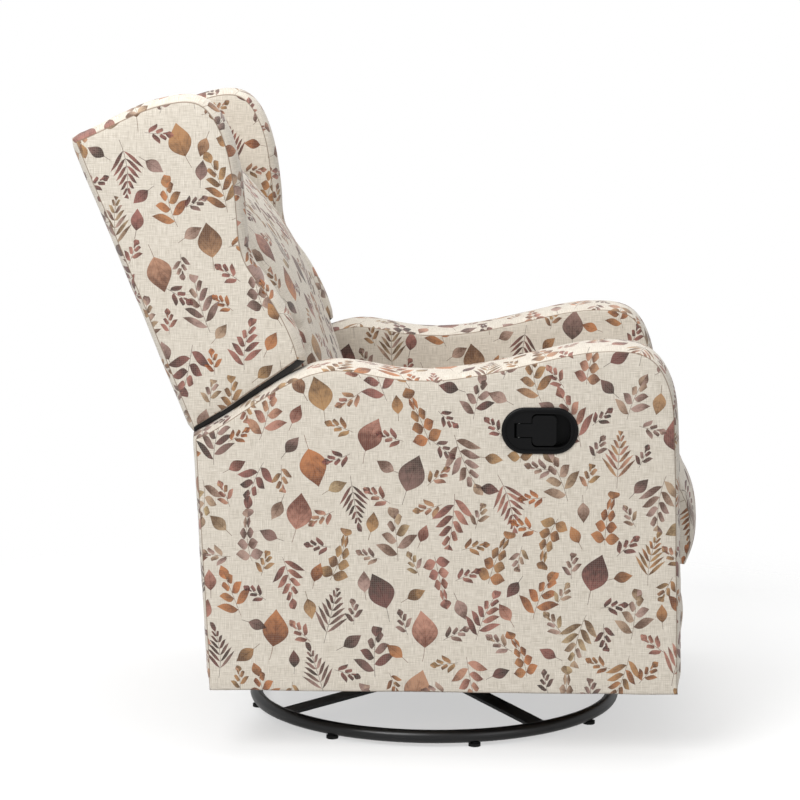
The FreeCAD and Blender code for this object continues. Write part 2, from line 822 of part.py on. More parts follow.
nodes["seat_links_front"] = both([seat_link(seat_feet[0], seat_tops[0])])
nodes["seat_links_rear"] = both([seat_link(seat_feet[1], seat_tops[1])])
left_plate = seat_plate()
nodes["seat_plate_left"] = [left_plate]
nodes["seat_plate_right"] = [mirrored(left_plate)]
seat_pins = [pin(p, seat_link_inner, seat_plate_outer, inner_head=False, outer_head=False)
             for p in seat_tops]
seat_pins += [pin(p, seat_plate_inner, plane_a + steel) for p in (foot_rear_pivot, foot_front_pivot)]
nodes["seat_plate_pins"] = both(seat_pins)
nodes["seat_frame"] = [seat_frame()]
nodes["seat_webbing"] = seat_webbing()
nodes["seat_cushion"] = [seat_cushion()]

# Footrest: parallel links, coupler, control link and bracket on each side

rear_knee = polar(foot_rear_pivot, foot_link_length, foot_link_angle)
front_knee = polar(foot_front_pivot, foot_link_length, foot_link_angle)
tail_pivot = polar(front_knee, foot_tail, foot_link_angle)
control_pivot = polar(bracket_pivot, foot_tail, foot_link_angle)
tube_center = polar(foot_rear_pivot, torque_tube_reach, foot_link_angle)


def footrest_bracket():
    """Bracket from the two pivots to the board, with a flange screwed behind it."""
    holes = [(bracket_pivot, running_hole), (control_pivot, running_hole)]
    plate = flat_bar([bracket_pivot, control_pivot], plane_a, [])
    tongue = box(plane_a, plane_a + steel, board_rear, bracket_pivot[0],
                 control_pivot[1] - link_width / 2, bracket_pivot[1] + link_width / 2)
    flange = box(plane_a - bracket_flange_width, plane_a + steel, board_rear, board_rear + steel,
                 control_pivot[1] - bracket_flange_reach, bracket_pivot[1] + bracket_flange_reach)
    plate = plate.fuse(tongue).fuse(flange)
    for point, radius in holes:
        plate = plate.cut(rod_x(point, radius, plane_a - 1, plane_a + steel + 1))
    return plate.removeSplitter()


def footrest_cushion():
    """Padded cover round the board: a crowned front and thin edges."""
    reach = seat_half_width
    rear = board_rear - foot_pad_back
    front = board_rear - board_thickness
    low, high = board_low - foot_pad_edge, board_high + foot_pad_edge
    sections = []
    for share, rise in ((-1.0, 0.35), (-0.7, 0.9), (0.0, 1.0), (0.7, 0.9), (1.0, 0.35)):
        x = reach * share
        face_y = front - foot_pad_seam
        crown_y = face_y - foot_pad_crown * rise
        edges = [
            Part.makeLine(yz((rear, low), x), yz((rear, high), x)),
            Part.makeLine(yz((rear, high), x), yz((face_y, high), x)),
            Part.Arc(yz((face_y, high), x), yz((crown_y, (low + high) / 2), x),
                     yz((face_y, low), x)).toShape(),
            Part.makeLine(yz((face_y, low), x), yz((rear, low), x)),
        ]
        sections.append(Part.Wire(edges))
    pad = Part.makeLoft(sections, True, False)
    return pad.cut(board_block())


def board_block():
    reach = seat_half_width - foot_pad_edge
    return box(-reach, reach, board_rear - board_thickness, board_rear, board_low, board_high)


nodes["footrest_drive_links"] = both([flat_bar([foot_rear_pivot, rear_knee], plane_a,
                                               [(foot_rear_pivot, running_hole), (rear_knee, fixed_hole)])])
nodes["footrest_torque_tube"] = [rod_x(tube_center, torque_tube_radius, -plane_a, plane_a)]
nodes["drive_link_pins"] = both([pin(rear_knee, plane_a, plane_b + steel)])
nodes["footrest_tail_links"] = both([flat_bar([foot_front_pivot, tail_pivot], plane_a,
                                              [(foot_front_pivot, running_hole), (front_knee, fixed_hole),
                                               (tail_pivot, fixed_hole)])])
nodes["tail_link_pins"] = both([pin(front_knee, plane_a, plane_b + steel),
                                pin(tail_pivot, plane_a, plane_end)])
nodes["footrest_couplers"] = both([flat_bar([rear_knee, front_knee, bracket_pivot], plane_b,
                                            [(rear_knee, running_hole), (front_knee, running_hole),
                                             (bracket_pivot, fixed_hole)])])
nodes["coupler_pins"] = both([pin(bracket_pivot, plane_a, plane_b + steel)])
nodes["footrest_control_links"] = both([flat_bar([tail_pivot, control_pivot], plane_c,
                                                 [(tail_pivot, running_hole), (control_pivot, fixed_hole)])])
nodes["control_link_pins"] = both([pin(control_pivot, plane_a, plane_end)])
nodes["footrest_brackets"] = both([footrest_bracket()])
nodes["footrest_board"] = [board_block()]
nodes["footrest_cushion"] = [footrest_cushion()]

# Back: brackets, wooden frame, straps, cushion, outer panel and wings


def lean(solid):
    """Moves a solid made upright, with s up and w forward, to the back's place."""
    leaned = solid.copy()
    leaned.rotate(Vector(0, 0, 0), Vector(1, 0, 0), -back_lean)
    leaned.translate(Vector(0, back_origin_y, back_origin_z))
    return leaned


def upright(solid):
    """Moves a solid from the back's place to its upright frame."""
    raised = solid.copy()
    raised.translate(Vector(0, -back_origin_y, -back_origin_z))
    raised.rotate(Vector(0, 0, 0), Vector(1, 0, 0), back_lean)
    return raised


def back_point(s, w):
    """Side-plane point of a place in the back's own frame."""
    turn = math.radians(back_lean)
    return (back_origin_y + s * math.sin(turn) - w * math.cos(turn),
            back_origin_z + s * math.cos(turn) + w * math.sin(turn))


frame_front = back_skin + back_frame_depth
back_top_rail_low = back_height - back_top_rail_drop
back_mid_rail_low = back_height - back_mid_rail_drop
rail_inner = plane_a + steel
rail_outer = rail_inner + back_rail_width
rail_middle = back_skin + back_frame_depth / 2
bracket_foot = back_point(bracket_foot_height, rail_middle)
bracket_top = back_point(bracket_top_height, rail_middle)


def slab(x0, x1, s0, s1, w0, w1):
    """Block in the back's upright frame."""
    return box(x0, x1, -w1, -w0, s0, s1)


def back_bracket():
    """Steel plate from the drive pin past the recline pivot to the side rail of the frame."""
    chain = [drive_pivot, recline_pivot, bracket_foot, bracket_top]
    holes = [(drive_pivot, fixed_hole), (recline_pivot, running_hole)]
    return flat_bar(chain, plane_a, holes, width=bracket_width)


def back_frame():
    """Two side rails with a top, a middle and a lower rail between and past them."""
    rails = []
    for side in (-1, 1):
        x0, x1 = sorted((side * rail_inner, side * rail_outer))
        rails.append(slab(x0, x1, back_low_end, back_height - back_post_drop, back_skin, frame_front))
    frame = rails[0].fuse(rails[1])
    for low, reach in ((back_top_rail_low, wing_board_inner), (back_mid_rail_low, wing_board_inner),
                       (back_low_end + lower_rail_lift, rail_inner)):
        frame = frame.fuse(slab(-reach, reach, low, low + back_rail_height, back_skin, frame_front))
    for bracket in both([back_bracket()]):
        frame = frame.cut(upright(bracket))
    return frame.removeSplitter()


def back_webbing():
    straps = []
    reach = rail_outer - strap_side_inset
    span = back_top_rail_low - back_low_end - 2 * back_strap_inset
    for index in range(back_strap_count):
        s = back_low_end + back_strap_inset + span * index / (back_strap_count - 1)
        strap = slab(-reach, reach, s - strap_width / 2, s + strap_width / 2,
                     frame_front, frame_front + strap_thickness)
        straps.append(lean(strap))
    return straps


def outer_panel():
    """Rear panel between the wings, narrowed where it drops between the arms."""
    wide = wing_inner - soft_gap
    upper = slab(-wide, wide, wing_low_rear, back_height, 0.0, back_skin)
    lower = slab(-seat_half_width, seat_half_width, back_panel_low, wing_low_rear, 0.0, back_skin)
    return upper.fuse(lower).removeSplitter()


wing_front_points = [
    (wing_low_front, wing_foot_depth),
    (back_height - 390.0, wing_foot_depth + 4.0),
    (back_height - 330.0, wing_foot_depth - 4.0),
    (back_height - 280.0, wing_waist_depth),
    (back_height - 215.0, wing_waist_depth + 16.0),
    (back_height - 132.0, wing_ear_depth - 7.0),
    (back_height - 70.0, wing_ear_depth),
    (back_height - 25.0, wing_ear_depth - 14.0),
    (back_height - 5.0, wing_foot_depth - 20.0),
    (back_height + 1.0, 80.0),
    (back_height, 0.0),
]
wing_board_inner = wing_outer - wing_padding
wing_middle = (wing_outer + wing_inner) / 2


def wing_outline(x, grow=0.0):
    """Closed side outline of a wing in the back's upright frame."""
    front = [(-w, s) for s, w in shifted(wing_front_points, -grow)]
    low_rear = (0.0, wing_low_rear)
    edges = [
        Part.makeLine(yz(low_rear, x), yz(front[0], x)),
        smooth_edge(front, x),
        Part.makeLine(yz(front[-1], x), yz(low_rear, x)),
    ]
    return Part.Wire(edges)


def wing_core(grow):
    outline = [(-w, s) for s, w in shifted(wing_front_points[:-1], grow)]
    outline += [(-back_skin, back_height - 28.0), (-back_skin, wing_low_rear + 22.0)]
    return extrude_x(polygon(outline), wing_board_inner, wing_board_inner + wing_board)


def wing(frame):
    """Padded wing with flat sides at its seams and a crowned band round its front and top."""
    sections = [wing_outline(wing_inner), wing_outline(wing_middle, wing_crown), wing_outline(wing_outer)]
    solid = Part.makeLoft(sections, True, False)
    return lean(solid.cut(wing_core(wing_padding)).cut(frame))


def back_section(x, drop):
    """Side outline of the back cushion at one station across it, its front set back by a drop."""
    rear = frame_front + strap_thickness + soft_gap
    roll_low = back_top_rail_low + back_rail_height + soft_gap
    top = back_height + back_top_roll - drop * 0.4
    depth = back_cushion_depth - drop
    front = [(back_cushion_low, depth - 24.0), (back_cushion_low + 68.0, depth - 13.0),
             (back_height - 445.0, depth - 3.0), (back_height - 315.0, depth),
             (back_height - 235.0, depth - 11.0), (back_height - 165.0, depth - 31.0),
             (back_height - 85.0, depth - 62.0), (back_height - 25.0, depth - 100.0),
             (top - 6.0, frame_front + 21.0), (top, frame_front - 11.0), (roll_low + 14.0, back_skin + soft_gap)]
    edges = [
        Part.makeLine(yz((-back_skin - soft_gap, roll_low), x), yz((-rear, roll_low), x)),
        Part.makeLine(yz((-rear, roll_low), x), yz((-rear, back_cushion_low), x)),
        Part.makeLine(yz((-rear, back_cushion_low), x), yz((-front[0][1], back_cushion_low), x)),
        smooth_edge([(-w, s) for s, w in front], x),
        Part.makeLine(yz((-front[-1][1], front[-1][0]), x), yz((-back_skin - soft_gap, roll_low), x)),
    ]
    return Part.Wire(edges)


def back_cushion():
    """Crowned cushion that rolls over the top of the frame, narrowed between the arms."""
    edge = wing_inner - soft_gap
    stations = [(-1.0, 1.0), (-0.72, 0.28), (0.0, 0.0), (0.72, 0.28), (1.0, 1.0)]
    sections = [back_section(edge * share, back_cushion_side_drop * fall) for share, fall in stations]
    cushion = Part.makeLoft(sections, True, False)
    cut_low = back_cushion_low - well_lap
    for side in (-1, 1):
        x0, x1 = sorted((side * seat_half_width, side * half_width))
        cushion = cushion.cut(slab(x0, x1, cut_low, back_well_top, 0.0, wing_ear_depth))
        x0, x1 = sorted((side * (plane_a - bracket_notch_gap), side * (plane_a + steel + bracket_notch_gap)))
        cushion = cushion.cut(slab(x0, x1, cut_low, bracket_notch_top, 0.0, bracket_notch_depth))
    return lean(cushion)


frame_upright = back_frame()
left_wing = wing(frame_upright)
nodes["back_brackets"] = both([back_bracket()])
nodes["drive_pins"] = both([pin(drive_pivot, seat_plate_inner, plane_a + steel, outer_head=False)])
nodes["back_frame"] = [lean(frame_upright)]
nodes["back_webbing"] = back_webbing()
nodes["back_cushion"] = [back_cushion()]
nodes["back_outer_panel"] = [lean(outer_panel())]
nodes["wing_frames"] = both([lean(wing_core(wing_padding))])
nodes["wing_left"] = [left_wing]
nodes["wing_right"] = [mirrored(left_wing)]

os.makedirs("parts", exist_ok=True)
for name, solids in nodes.items():
    shape = solids[0] if len(solids) == 1 else Part.makeCompound(solids)
    if not shape.isValid():
        print("invalid", name)
    shape.exportStep("parts/" + name + ".step")
print(len(nodes), "nodes")
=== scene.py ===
import json
import math

import bmesh
import bpy
import numpy as np
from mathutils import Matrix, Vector, noise
from mathutils.kdtree import KDTree

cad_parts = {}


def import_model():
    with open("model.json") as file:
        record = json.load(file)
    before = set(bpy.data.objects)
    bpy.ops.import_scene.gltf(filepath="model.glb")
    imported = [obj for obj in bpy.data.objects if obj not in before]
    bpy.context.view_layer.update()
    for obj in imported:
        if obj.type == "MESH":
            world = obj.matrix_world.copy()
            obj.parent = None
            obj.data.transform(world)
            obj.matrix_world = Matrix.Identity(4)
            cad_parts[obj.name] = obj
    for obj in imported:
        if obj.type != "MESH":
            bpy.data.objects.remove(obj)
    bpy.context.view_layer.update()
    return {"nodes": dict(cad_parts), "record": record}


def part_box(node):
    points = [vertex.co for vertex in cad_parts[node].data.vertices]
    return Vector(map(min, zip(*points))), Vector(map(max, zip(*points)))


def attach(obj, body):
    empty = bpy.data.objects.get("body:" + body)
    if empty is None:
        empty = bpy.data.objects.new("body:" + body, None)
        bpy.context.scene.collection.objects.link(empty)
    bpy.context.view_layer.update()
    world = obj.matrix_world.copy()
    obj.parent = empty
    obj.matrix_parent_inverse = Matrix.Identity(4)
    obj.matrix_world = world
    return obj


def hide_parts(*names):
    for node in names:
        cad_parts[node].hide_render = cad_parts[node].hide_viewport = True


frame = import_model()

MM = 0.001

# Back: where its own frame stands, and how far it leans
BACK_ORIGIN = (352 * MM, 520 * MM)
BACK_LEAN = math.radians(23.8)

UPRIGHT = ((1, 0, 0), (0, 1, 0), (0, 0, 1))
LEANING = ((1, 0, 0), (0, math.sin(BACK_LEAN), math.cos(BACK_LEAN)),
           (0, -math.cos(BACK_LEAN), math.sin(BACK_LEAN)))

# Camera
CAMERA_PLACE = (-4.18005, -0.11594, 1.12653)
CAMERA_YAW = 2.407
CAMERA_PITCH = -8.169
CAMERA_LENS = 110.17
CAMERA_REACH = 50.0
SENSOR = 36.0

# Floor, world, and lights by name, place, aim, size and power
FLOOR_SIZE = 12.0
FLOOR_WHITE = (0.95, 0.95, 0.95, 1)
FLOOR_FADE = 1.5
FLOOR_EDGE = 1.6
FLOOR_SHOWN = 0.45
WORLD_LIGHT = 0.55
WORLD_SEEN = 1.0
LIGHTS = [
    ("key", (-2.4, 1.4, 2.6), (0, 0, 0.5), 2.0, 86),
    ("fill", (-3.2, -2.6, 1.6), (0, 0, 0.5), 2.4, 20),
    ("top", (0.3, 0.2, 3.4), (0, 0, 0.4), 2.4, 55),
]

# Fineness of the meshes
CLOTH_STEP = 7 * MM
PAD_STEP = 6 * MM
PANEL_STEP = 4 * MM
WELD = 0.02 * MM
SHARP_CORNER = math.radians(28)
BAND_RINGS = 27
LOFT_STATIONS = 61
SMOOTH_PASSES = 6

# Seams, and the padding that rises from them
SEAM_INSET = 0.3 * MM
SEAM_VALLEY = 1.6 * MM
VALLEY_REACH = 2.5 * MM
CROWN_POWER = 1.25
HEM_EASE = 25 * MM
SLAB_SOFT = 14 * MM
LOFT_SOFT = 18 * MM

# Swelling of the loose pads
SWELL_PRESSURE = 4.0
SWELL_FRAMES = 18
SWELL_QUALITY = 5
SHORTEST = 1e-9

# Arms and wings: where the cloth and its unevenness start, and how full the covers are
ARM_CLOTH = {"left": (0.0, 0.37), "right": (0.0, 0.0)}
ARM_SEED = {"left": 3.0, "right": 0.0}
ARM_PUFF = 2.5 * MM
ARM_RUFFLE = (1.0 * MM, 70 * MM)
ARM_FRONT_EASE = 4 * MM
ARM_REAR_EASE = 8 * MM
EASE_HEIGHT = 1.4
EASE_ENDS = 6
WING_CLOTH = {"left": (0.41, 0.23), "right": (0.41, 0.11)}
WING_SEED = {"left": 9.0, "right": 5.0}
WING_PUFF = 3 * MM
WING_RUFFLE = (1.2 * MM, 60 * MM)
WING_REAR_EASE = 18 * MM
WING_EASE_REACH = 40 * MM
# Which faces of a wing's lower edge take the black painted shade for the shadowed gap above the arm
UNDERSIDE_SHADE_TURN = 0.45
UNDERSIDE_SHADE_SIDE = 0.8

# Room for the handle's cup in the arm cover
RECESS_LAP = 5 * MM
RECESS_DEPTH = 20 * MM
RECESS_STAND = 1 * MM
RECESS_STEPS = 24

# Seat, footrest and back pads: inset, puff, swelling, room past the CAD box, unevenness
SEAT_INSET = 5 * MM
SEAT_PUFF = 3 * MM
SEAT_SWELL = 14 * MM
SEAT_ROOM = ((4 * MM, 3 * MM, 2 * MM), (4 * MM, 0.0, 12 * MM))
SEAT_RUFFLE = (1.5 * MM, 80 * MM)
FRAME_GAP = 0.3 * MM
FOOT_INSET = 1 * MM
FOOT_PUFF = 1 * MM
FOOT_CLOTH = (0.3, 0.2)
FOOT_RUFFLE = (1.0 * MM, 70 * MM)
BACK_SHRINK = 3 * MM
BACK_SWELL = 12 * MM
BACK_ROOM = ((0.0, 8 * MM, 0.0), (0.0, 0.0, 8 * MM))
BACK_RUFFLE = (1.5 * MM, 90 * MM)

# Cloth laid round a solid: sampling, where a face counts as a side, and the jump at its end
ROUND_STEP = 2 * MM
SIDE_TURN = 0.75
WRAP_JUMP = 0.3

# Straps
STRAP_STEPS = 36
STRAP_SLACK = 0.2
SLACK_WAVES = 9
SLACK_SKEW = 2
STRAP_PROFILE = [(-1.0, -0.3), (-0.96, -0.8), (-0.88, -0.75), (-0.8, -0.45), (0.0, -0.5), (0.8, -0.45),
                 (0.88, -0.75), (0.96, -0.8), (1.0, -0.3), (1.0, 0.3), (0.96, 0.8), (0.88, 0.75),
                 (0.8, 0.45), (0.0, 0.5), (-0.8, 0.45), (-0.88, 0.75), (-0.96, 0.8), (-1.0, 0.3)]


# What several pieces use

def linked(name, data):
    """A new object in the scene."""
    made = bpy.data.objects.new(name, data)
    bpy.context.scene.collection.objects.link(made)
    return made


def welded(mesh):
    """A BMesh of the mesh, with the corners that its faces share joined. The caller frees it."""
    bm = bmesh.new()
    bm.from_mesh(mesh)
    bmesh.ops.remove_doubles(bm, verts=bm.verts, dist=WELD)
    return bm


def face_outward(mesh):
    bm = bmesh.new()
    bm.from_mesh(mesh)
    bmesh.ops.recalc_face_normals(bm, faces=bm.faces)
    bm.to_mesh(mesh)
    bm.free()
    mesh.shade_smooth()


def apply_modifiers(piece):
    graph = bpy.context.evaluated_depsgraph_get()
    final = bpy.data.meshes.new_from_object(piece.evaluated_get(graph))
    piece.modifiers.clear()
    piece.data = final


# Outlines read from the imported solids

def section(node, x):
    """Outer outline of a CAD node where the plane at x cuts it: ordered (y, z) points."""
    bm = welded(frame["nodes"][node].data)
    geometry = bm.verts[:] + bm.edges[:] + bm.faces[:]
    cut = bmesh.ops.bisect_plane(bm, geom=geometry, plane_co=(x, 0, 0), plane_no=(1, 0, 0))["geom_cut"]
    links, places = {}, {}
    for edge in (e for e in cut if isinstance(e, bmesh.types.BMEdge)):
        a, b = edge.verts
        links.setdefault(a.index, []).append(b.index)
        links.setdefault(b.index, []).append(a.index)
        places.update({a.index: a.co.yz.copy(), b.index: b.co.yz.copy()})
    best = []
    while links:
        start = here = next(iter(links))
        loop = []
        while here in links and links[here]:
            loop.append(here)
            there = links[here].pop()
            if here in links.get(there, []):
                links[there].remove(here)
            if not links[here]:
                del links[here]
            here = there
        links.pop(here, None)
        links.pop(start, None)
        size = np.ptp(np.array([places[i] for i in loop]), axis=0).sum()
        if not best or size > best[0]:
            best = [size, loop]
    bm.free()
    points = np.array([places[i] for i in best[1]])
    turn = np.cross(points, np.roll(points, -1, axis=0)).sum()
    return points if turn > 0 else points[::-1]


def arc_lengths(points):
    """Distance along a closed outline to each point, and its whole length."""
    steps = np.linalg.norm(np.roll(points, -1, axis=0) - points, axis=1)
    return np.concatenate([[0.0], np.cumsum(steps)])


def at_lengths(points, lengths):
    """Points of a closed outline at distances along it."""
    along = arc_lengths(points)
    closed = np.vstack([points, points[:1]])
    return np.stack([np.interp(lengths, along, closed[:, k]) for k in (0, 1)], axis=1)


def even_outline(points):
    """The outline in even steps, with its sharp corners kept."""
    back = points - np.roll(points, 1, axis=0)
    ahead = np.roll(points, -1, axis=0) - points
    turn = np.abs(np.arctan2(np.cross(back, ahead), (back * ahead).sum(axis=1)))
    keep = np.flatnonzero(turn > SHARP_CORNER)
    points = np.roll(points, -keep[0], axis=0)
    keep = np.append(keep - keep[0], len(points))
    along = arc_lengths(points)
    lengths = []
    for a, b in zip(keep, keep[1:]):
        count = max(int(round((along[b] - along[a]) / CLOTH_STEP)), 1)
        lengths += list(np.linspace(along[a], along[b], count, endpoint=False))
    return at_lengths(points, lengths)


def outward(points):
    """Unit normals of an outline that runs counterclockwise."""
    along = np.roll(points, -1, axis=0) - np.roll(points, 1, axis=0)
    along /= np.linalg.norm(along, axis=1)[:, None]
    return np.stack([along[:, 1], -along[:, 0]], axis=1)


# Mesh building

class Shell:
    """Collects points, faces, cloth coordinates and distances from the nearest seam."""

    def __init__(self):
        self.points, self.faces, self.cloth, self.seam = [], [], [], []

    def ring(self, points, seam):
        first = len(self.points)
        self.points += [tuple(p) for p in points]
        self.seam += list(seam) if hasattr(seam, "__len__") else [seam] * len(points)
        return list(range(first, len(self.points)))

    def strip(self, a, b, cloth_a, cloth_b):
        count = len(a)
        for i in range(count):
            j = (i + 1) % count
            self.faces.append((a[i], a[j], b[j], b[i]))
            self.cloth += [cloth_a[i], cloth_a[i + 1], cloth_b[i + 1], cloth_b[i]]

    def fan(self, ring, middle, cloth_ring, cloth_middle):
        count = len(ring)
        for i in range(count):
            self.faces.append((ring[i], ring[(i + 1) % count], middle))
            self.cloth += [cloth_ring[i], cloth_ring[i + 1], cloth_middle]

    def build(self, name):
        mesh = bpy.data.meshes.new(name)
        mesh.from_pydata(self.points, [], self.faces)
        layer = mesh.uv_layers.new(name="cloth")
        layer.data.foreach_set("uv", np.array(self.cloth, float).ravel())
        seam = mesh.attributes.new("seam", "FLOAT", "POINT")
        seam.data.foreach_set("value", np.array(self.seam, float))
        face_outward(mesh)
        return linked(name, mesh)


def placed(points, x):
    """(y, z) points as points in space at x."""
    return np.column_stack([np.full(len(points), x), points])


CAP_SHARES = [0.0, 0.012, 0.03, 0.055, 0.09, 0.14, 0.2, 0.27, 0.36, 0.46, 0.57, 0.69, 0.82, 0.93]


def add_cap(shell, ring, outline, x, side, puff, soft, origin):
    """Side panel over an outline: rings drawn in towards its middle, puffed out from the seam."""
    middle = outline.mean(axis=0)
    reach = np.linalg.norm(outline - middle, axis=1)
    here, cloth = ring, closed_cloth(outline * (side, 1) + origin)
    for share in CAP_SHARES[1:]:
        points = outline + (middle - outline) * share
        depth = share * reach
        rise = puff * (1 - np.exp(-depth / soft))
        solid = placed(points, x)
        solid[:, 0] += side * rise
        inner = shell.ring(solid, depth)
        inner_cloth = closed_cloth(points * (side, 1) + origin)
        shell.strip(here, inner, cloth, inner_cloth)
        here, cloth = inner, inner_cloth
    end = shell.ring([(x + side * puff, middle[0], middle[1])], 1.0)[0]
    shell.fan(here, end, cloth, tuple(middle * (side, 1) + origin))


def closed_cloth(points):
    """Cloth coordinates that return to the first point."""
    return [tuple(p) for p in points] + [tuple(points[0])]


def padded_slab(name, outline, x0, x1, crown, puff, origin, floor=None):
    """Padded board: two side panels and a crowned band between their seams, flat at its floor."""
    shell = Shell()
    normals = outward(outline)
    along = arc_lengths(outline)
    weight = np.ones(len(outline))
    if floor is not None:
        weight = np.clip((outline[:, 1] - floor) / HEM_EASE, 0, 1)
    half = (x1 - x0) / 2
    shares = 1 - np.cos(np.linspace(0, math.pi, BAND_RINGS))
    rings = []
    for share in shares:
        from_seam = half * min(share, 2 - share)
        across = (share - 1) ** 2
        rise = crown * (1 - across ** CROWN_POWER) - SEAM_VALLEY * math.exp(-from_seam / VALLEY_REACH)
        points = outline + normals * (rise * weight)[:, None]
        ring = shell.ring(placed(points, x0 + half * share), from_seam)
        cloth = [(a, origin[1] + half * share) for a in along]
        rings.append((ring, cloth, points))
    for (a, cloth_a, _), (b, cloth_b, _) in zip(rings, rings[1:]):
        shell.strip(a, b, cloth_a, cloth_b)
    add_cap(shell, rings[0][0], rings[0][2], x0, -1, puff, SLAB_SOFT, origin)
    add_cap(shell, rings[-1][0], rings[-1][2], x1, 1, puff, SLAB_SOFT, origin)
    return shell.build(name)


def padded_loft(name, node, inset, puff, origin=(0.0, 0.0)):
    """Cushion through sections of its CAD solid, drawn in a little, with side panels."""
    low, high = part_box(node)
    half = (high.x - low.x) / 2 - inset
    middle = (high.x + low.x) / 2
    shell = Shell()
    rings = []
    count = None
    for angle in np.linspace(0, math.pi, LOFT_STATIONS):
        x = middle - half * math.cos(angle)
        points = section(node, x)
        start = np.argmax(points[:, 0] - points[:, 1])
        points = np.roll(points, -start, axis=0)
        if count is None:
            count = int(arc_lengths(points)[-1] / PAD_STEP)
        lengths = np.linspace(0, arc_lengths(points)[-1], count, endpoint=False)
        points = at_lengths(points, lengths)
        points = points - outward(points) * inset
        from_seam = half - abs(x - middle)
        ring = shell.ring(placed(points, x), from_seam)
        cloth = [(x + origin[0], a + origin[1]) for a in np.append(lengths, arc_lengths(points)[-1])]
        rings.append((ring, cloth, points, x))
    for a, b in zip(rings, rings[1:]):
        shell.strip(a[0], b[0], a[1], b[1])
    add_cap(shell, rings[0][0], rings[0][2], rings[0][3], -1, puff, LOFT_SOFT, origin)
    add_cap(shell, rings[-1][0], rings[-1][2], rings[-1][3], 1, puff, LOFT_SOFT, origin)
    return shell.build(name)


def coordinates(mesh):
    flat = np.empty(len(mesh.vertices) * 3)
    mesh.vertices.foreach_get("co", flat)
    return flat.reshape(-1, 3)


def set_coordinates(mesh, points):
    mesh.vertices.foreach_set("co", points.ravel())
    mesh.update()


def normals_of(mesh):
    flat = np.empty(len(mesh.vertices) * 3)
    mesh.vertices.foreach_get("normal", flat)
    return flat.reshape(-1, 3)


def ruffled(piece, height, size, seed=0.0):
    """Slight unevenness of hand-pulled cloth over padding."""
    mesh = piece.data
    points, normals = coordinates(mesh), normals_of(mesh)
    lift = [noise.noise(Vector(p) / size + Vector((seed, 0, 0))) for p in points]
    set_coordinates(mesh, points + normals * (np.array(lift) * height)[:, None])


def inflated(piece, cap):
    """Swells a pad with a short cloth simulation, with no point moving further than the cap.
"""
    start = coordinates(piece.data).copy()
    cloth = piece.modifiers.new("swell", "CLOTH")
    cloth.settings.use_pressure = True
    cloth.settings.uniform_pressure_force = SWELL_PRESSURE
    cloth.settings.effector_weights.gravity = 0
    cloth.settings.quality = SWELL_QUALITY
    cloth.collision_settings.use_collision = False
    cloth.point_cache.frame_start = 1
    cloth.point_cache.frame_end = SWELL_FRAMES
    scene = bpy.context.scene
    for number in range(1, SWELL_FRAMES + 1):
        scene.frame_set(number)
    graph = bpy.context.evaluated_depsgraph_get()
    swollen = coordinates(piece.evaluated_get(graph).data).copy()
    piece.modifiers.remove(cloth)
    scene.frame_set(1)
    moved = swollen - start
    length = np.linalg.norm(moved, axis=1)
    moved *= (cap * np.tanh(length / cap) / np.maximum(length, SHORTEST))[:, None]
    set_coordinates(piece.data, start + moved)


def held_within(piece, node, below, above):
    """Keeps a pad's points near its node's box, where the pieces beside it press it flat."""
    low, high = (np.array(corner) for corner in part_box(node))
    points = coordinates(piece.data)
    set_coordinates(piece.data, np.clip(points, low - np.array(below), high + np.array(above)))


# Upholstery

cloth_pieces = []


def own_frame(points):
    """How far (y, z) points lie up the leaning back and forward of its rear face."""
    dy, dz = points[:, 0] - BACK_ORIGIN[0], points[:, 1] - BACK_ORIGIN[1]
    up = dy * math.sin(BACK_LEAN) + dz * math.cos(BACK_LEAN)
    forward = -dy * math.cos(BACK_LEAN) + dz * math.sin(BACK_LEAN)
    return up, forward


def upholstered(piece, body, nodes):
    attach(piece, body)
    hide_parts(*nodes)
    cloth_pieces.append(piece)


def handle_recess(piece):
    """Cuts the room for the handle's cup out of the arm's outer panel."""
    low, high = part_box("handle_bezel")
    height = high.z - low.z - 2 * RECESS_LAP
    reach = (high.y - low.y) / 2 - RECESS_LAP - height / 2
    middle = ((low.y + high.y) / 2, (low.z + high.z) / 2)
    outline = []
    for end, start in ((1, -90), (-1, 90)):
        for step in range(RECESS_STEPS + 1):
            turn = math.radians(start + step * 180 / RECESS_STEPS)
            outline.append((middle[0] + end * reach + math.cos(turn) * height / 2,
                            middle[1] + math.sin(turn) * height / 2))
    x0, x1 = low.x - RECESS_DEPTH, high.x + RECESS_STAND
    count = len(outline)
    points = [(x, y, z) for x in (x0, x1) for y, z in outline]
    faces = [tuple(range(count))[::-1], tuple(range(count, 2 * count))]
    faces += [(i, (i + 1) % count, count + (i + 1) % count, count + i) for i in range(count)]
    mesh = bpy.data.meshes.new("recess")
    mesh.from_pydata(points, [], faces)
    cutter = linked("recess", mesh)
    cut = piece.modifiers.new("recess", "BOOLEAN")
    cut.operation = "DIFFERENCE"
    cut.solver = "EXACT"
    cut.object = cutter
    apply_modifiers(piece)
    bpy.data.objects.remove(cutter)


def eased(outline, front, rear):
    """An outline let out a little at its upper front and rear, where the padding is full."""
    low, high = outline.min(axis=0), outline.max(axis=0)
    share = (outline - low) / (high - low)
    height = np.clip(share[:, 1] * EASE_HEIGHT, 0, 1)
    moved = outline.copy()
    moved[:, 0] += rear * height * np.clip(share[:, 0] * EASE_ENDS - (EASE_ENDS - 1), 0, 1)
    moved[:, 0] -= front * height * np.clip(1 - share[:, 0] * EASE_ENDS, 0, 1)
    return moved


def side_outline(node, side):
    """A node's box, its outline just inside its outer face, and how far its middle stands in front."""
    low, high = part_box(node)
    seam_x = high.x - SEAM_INSET if side == "left" else low.x + SEAM_INSET
    outline = even_outline(section(node, seam_x))
    return low, high, outline, outline[:, 0].min() - low.y


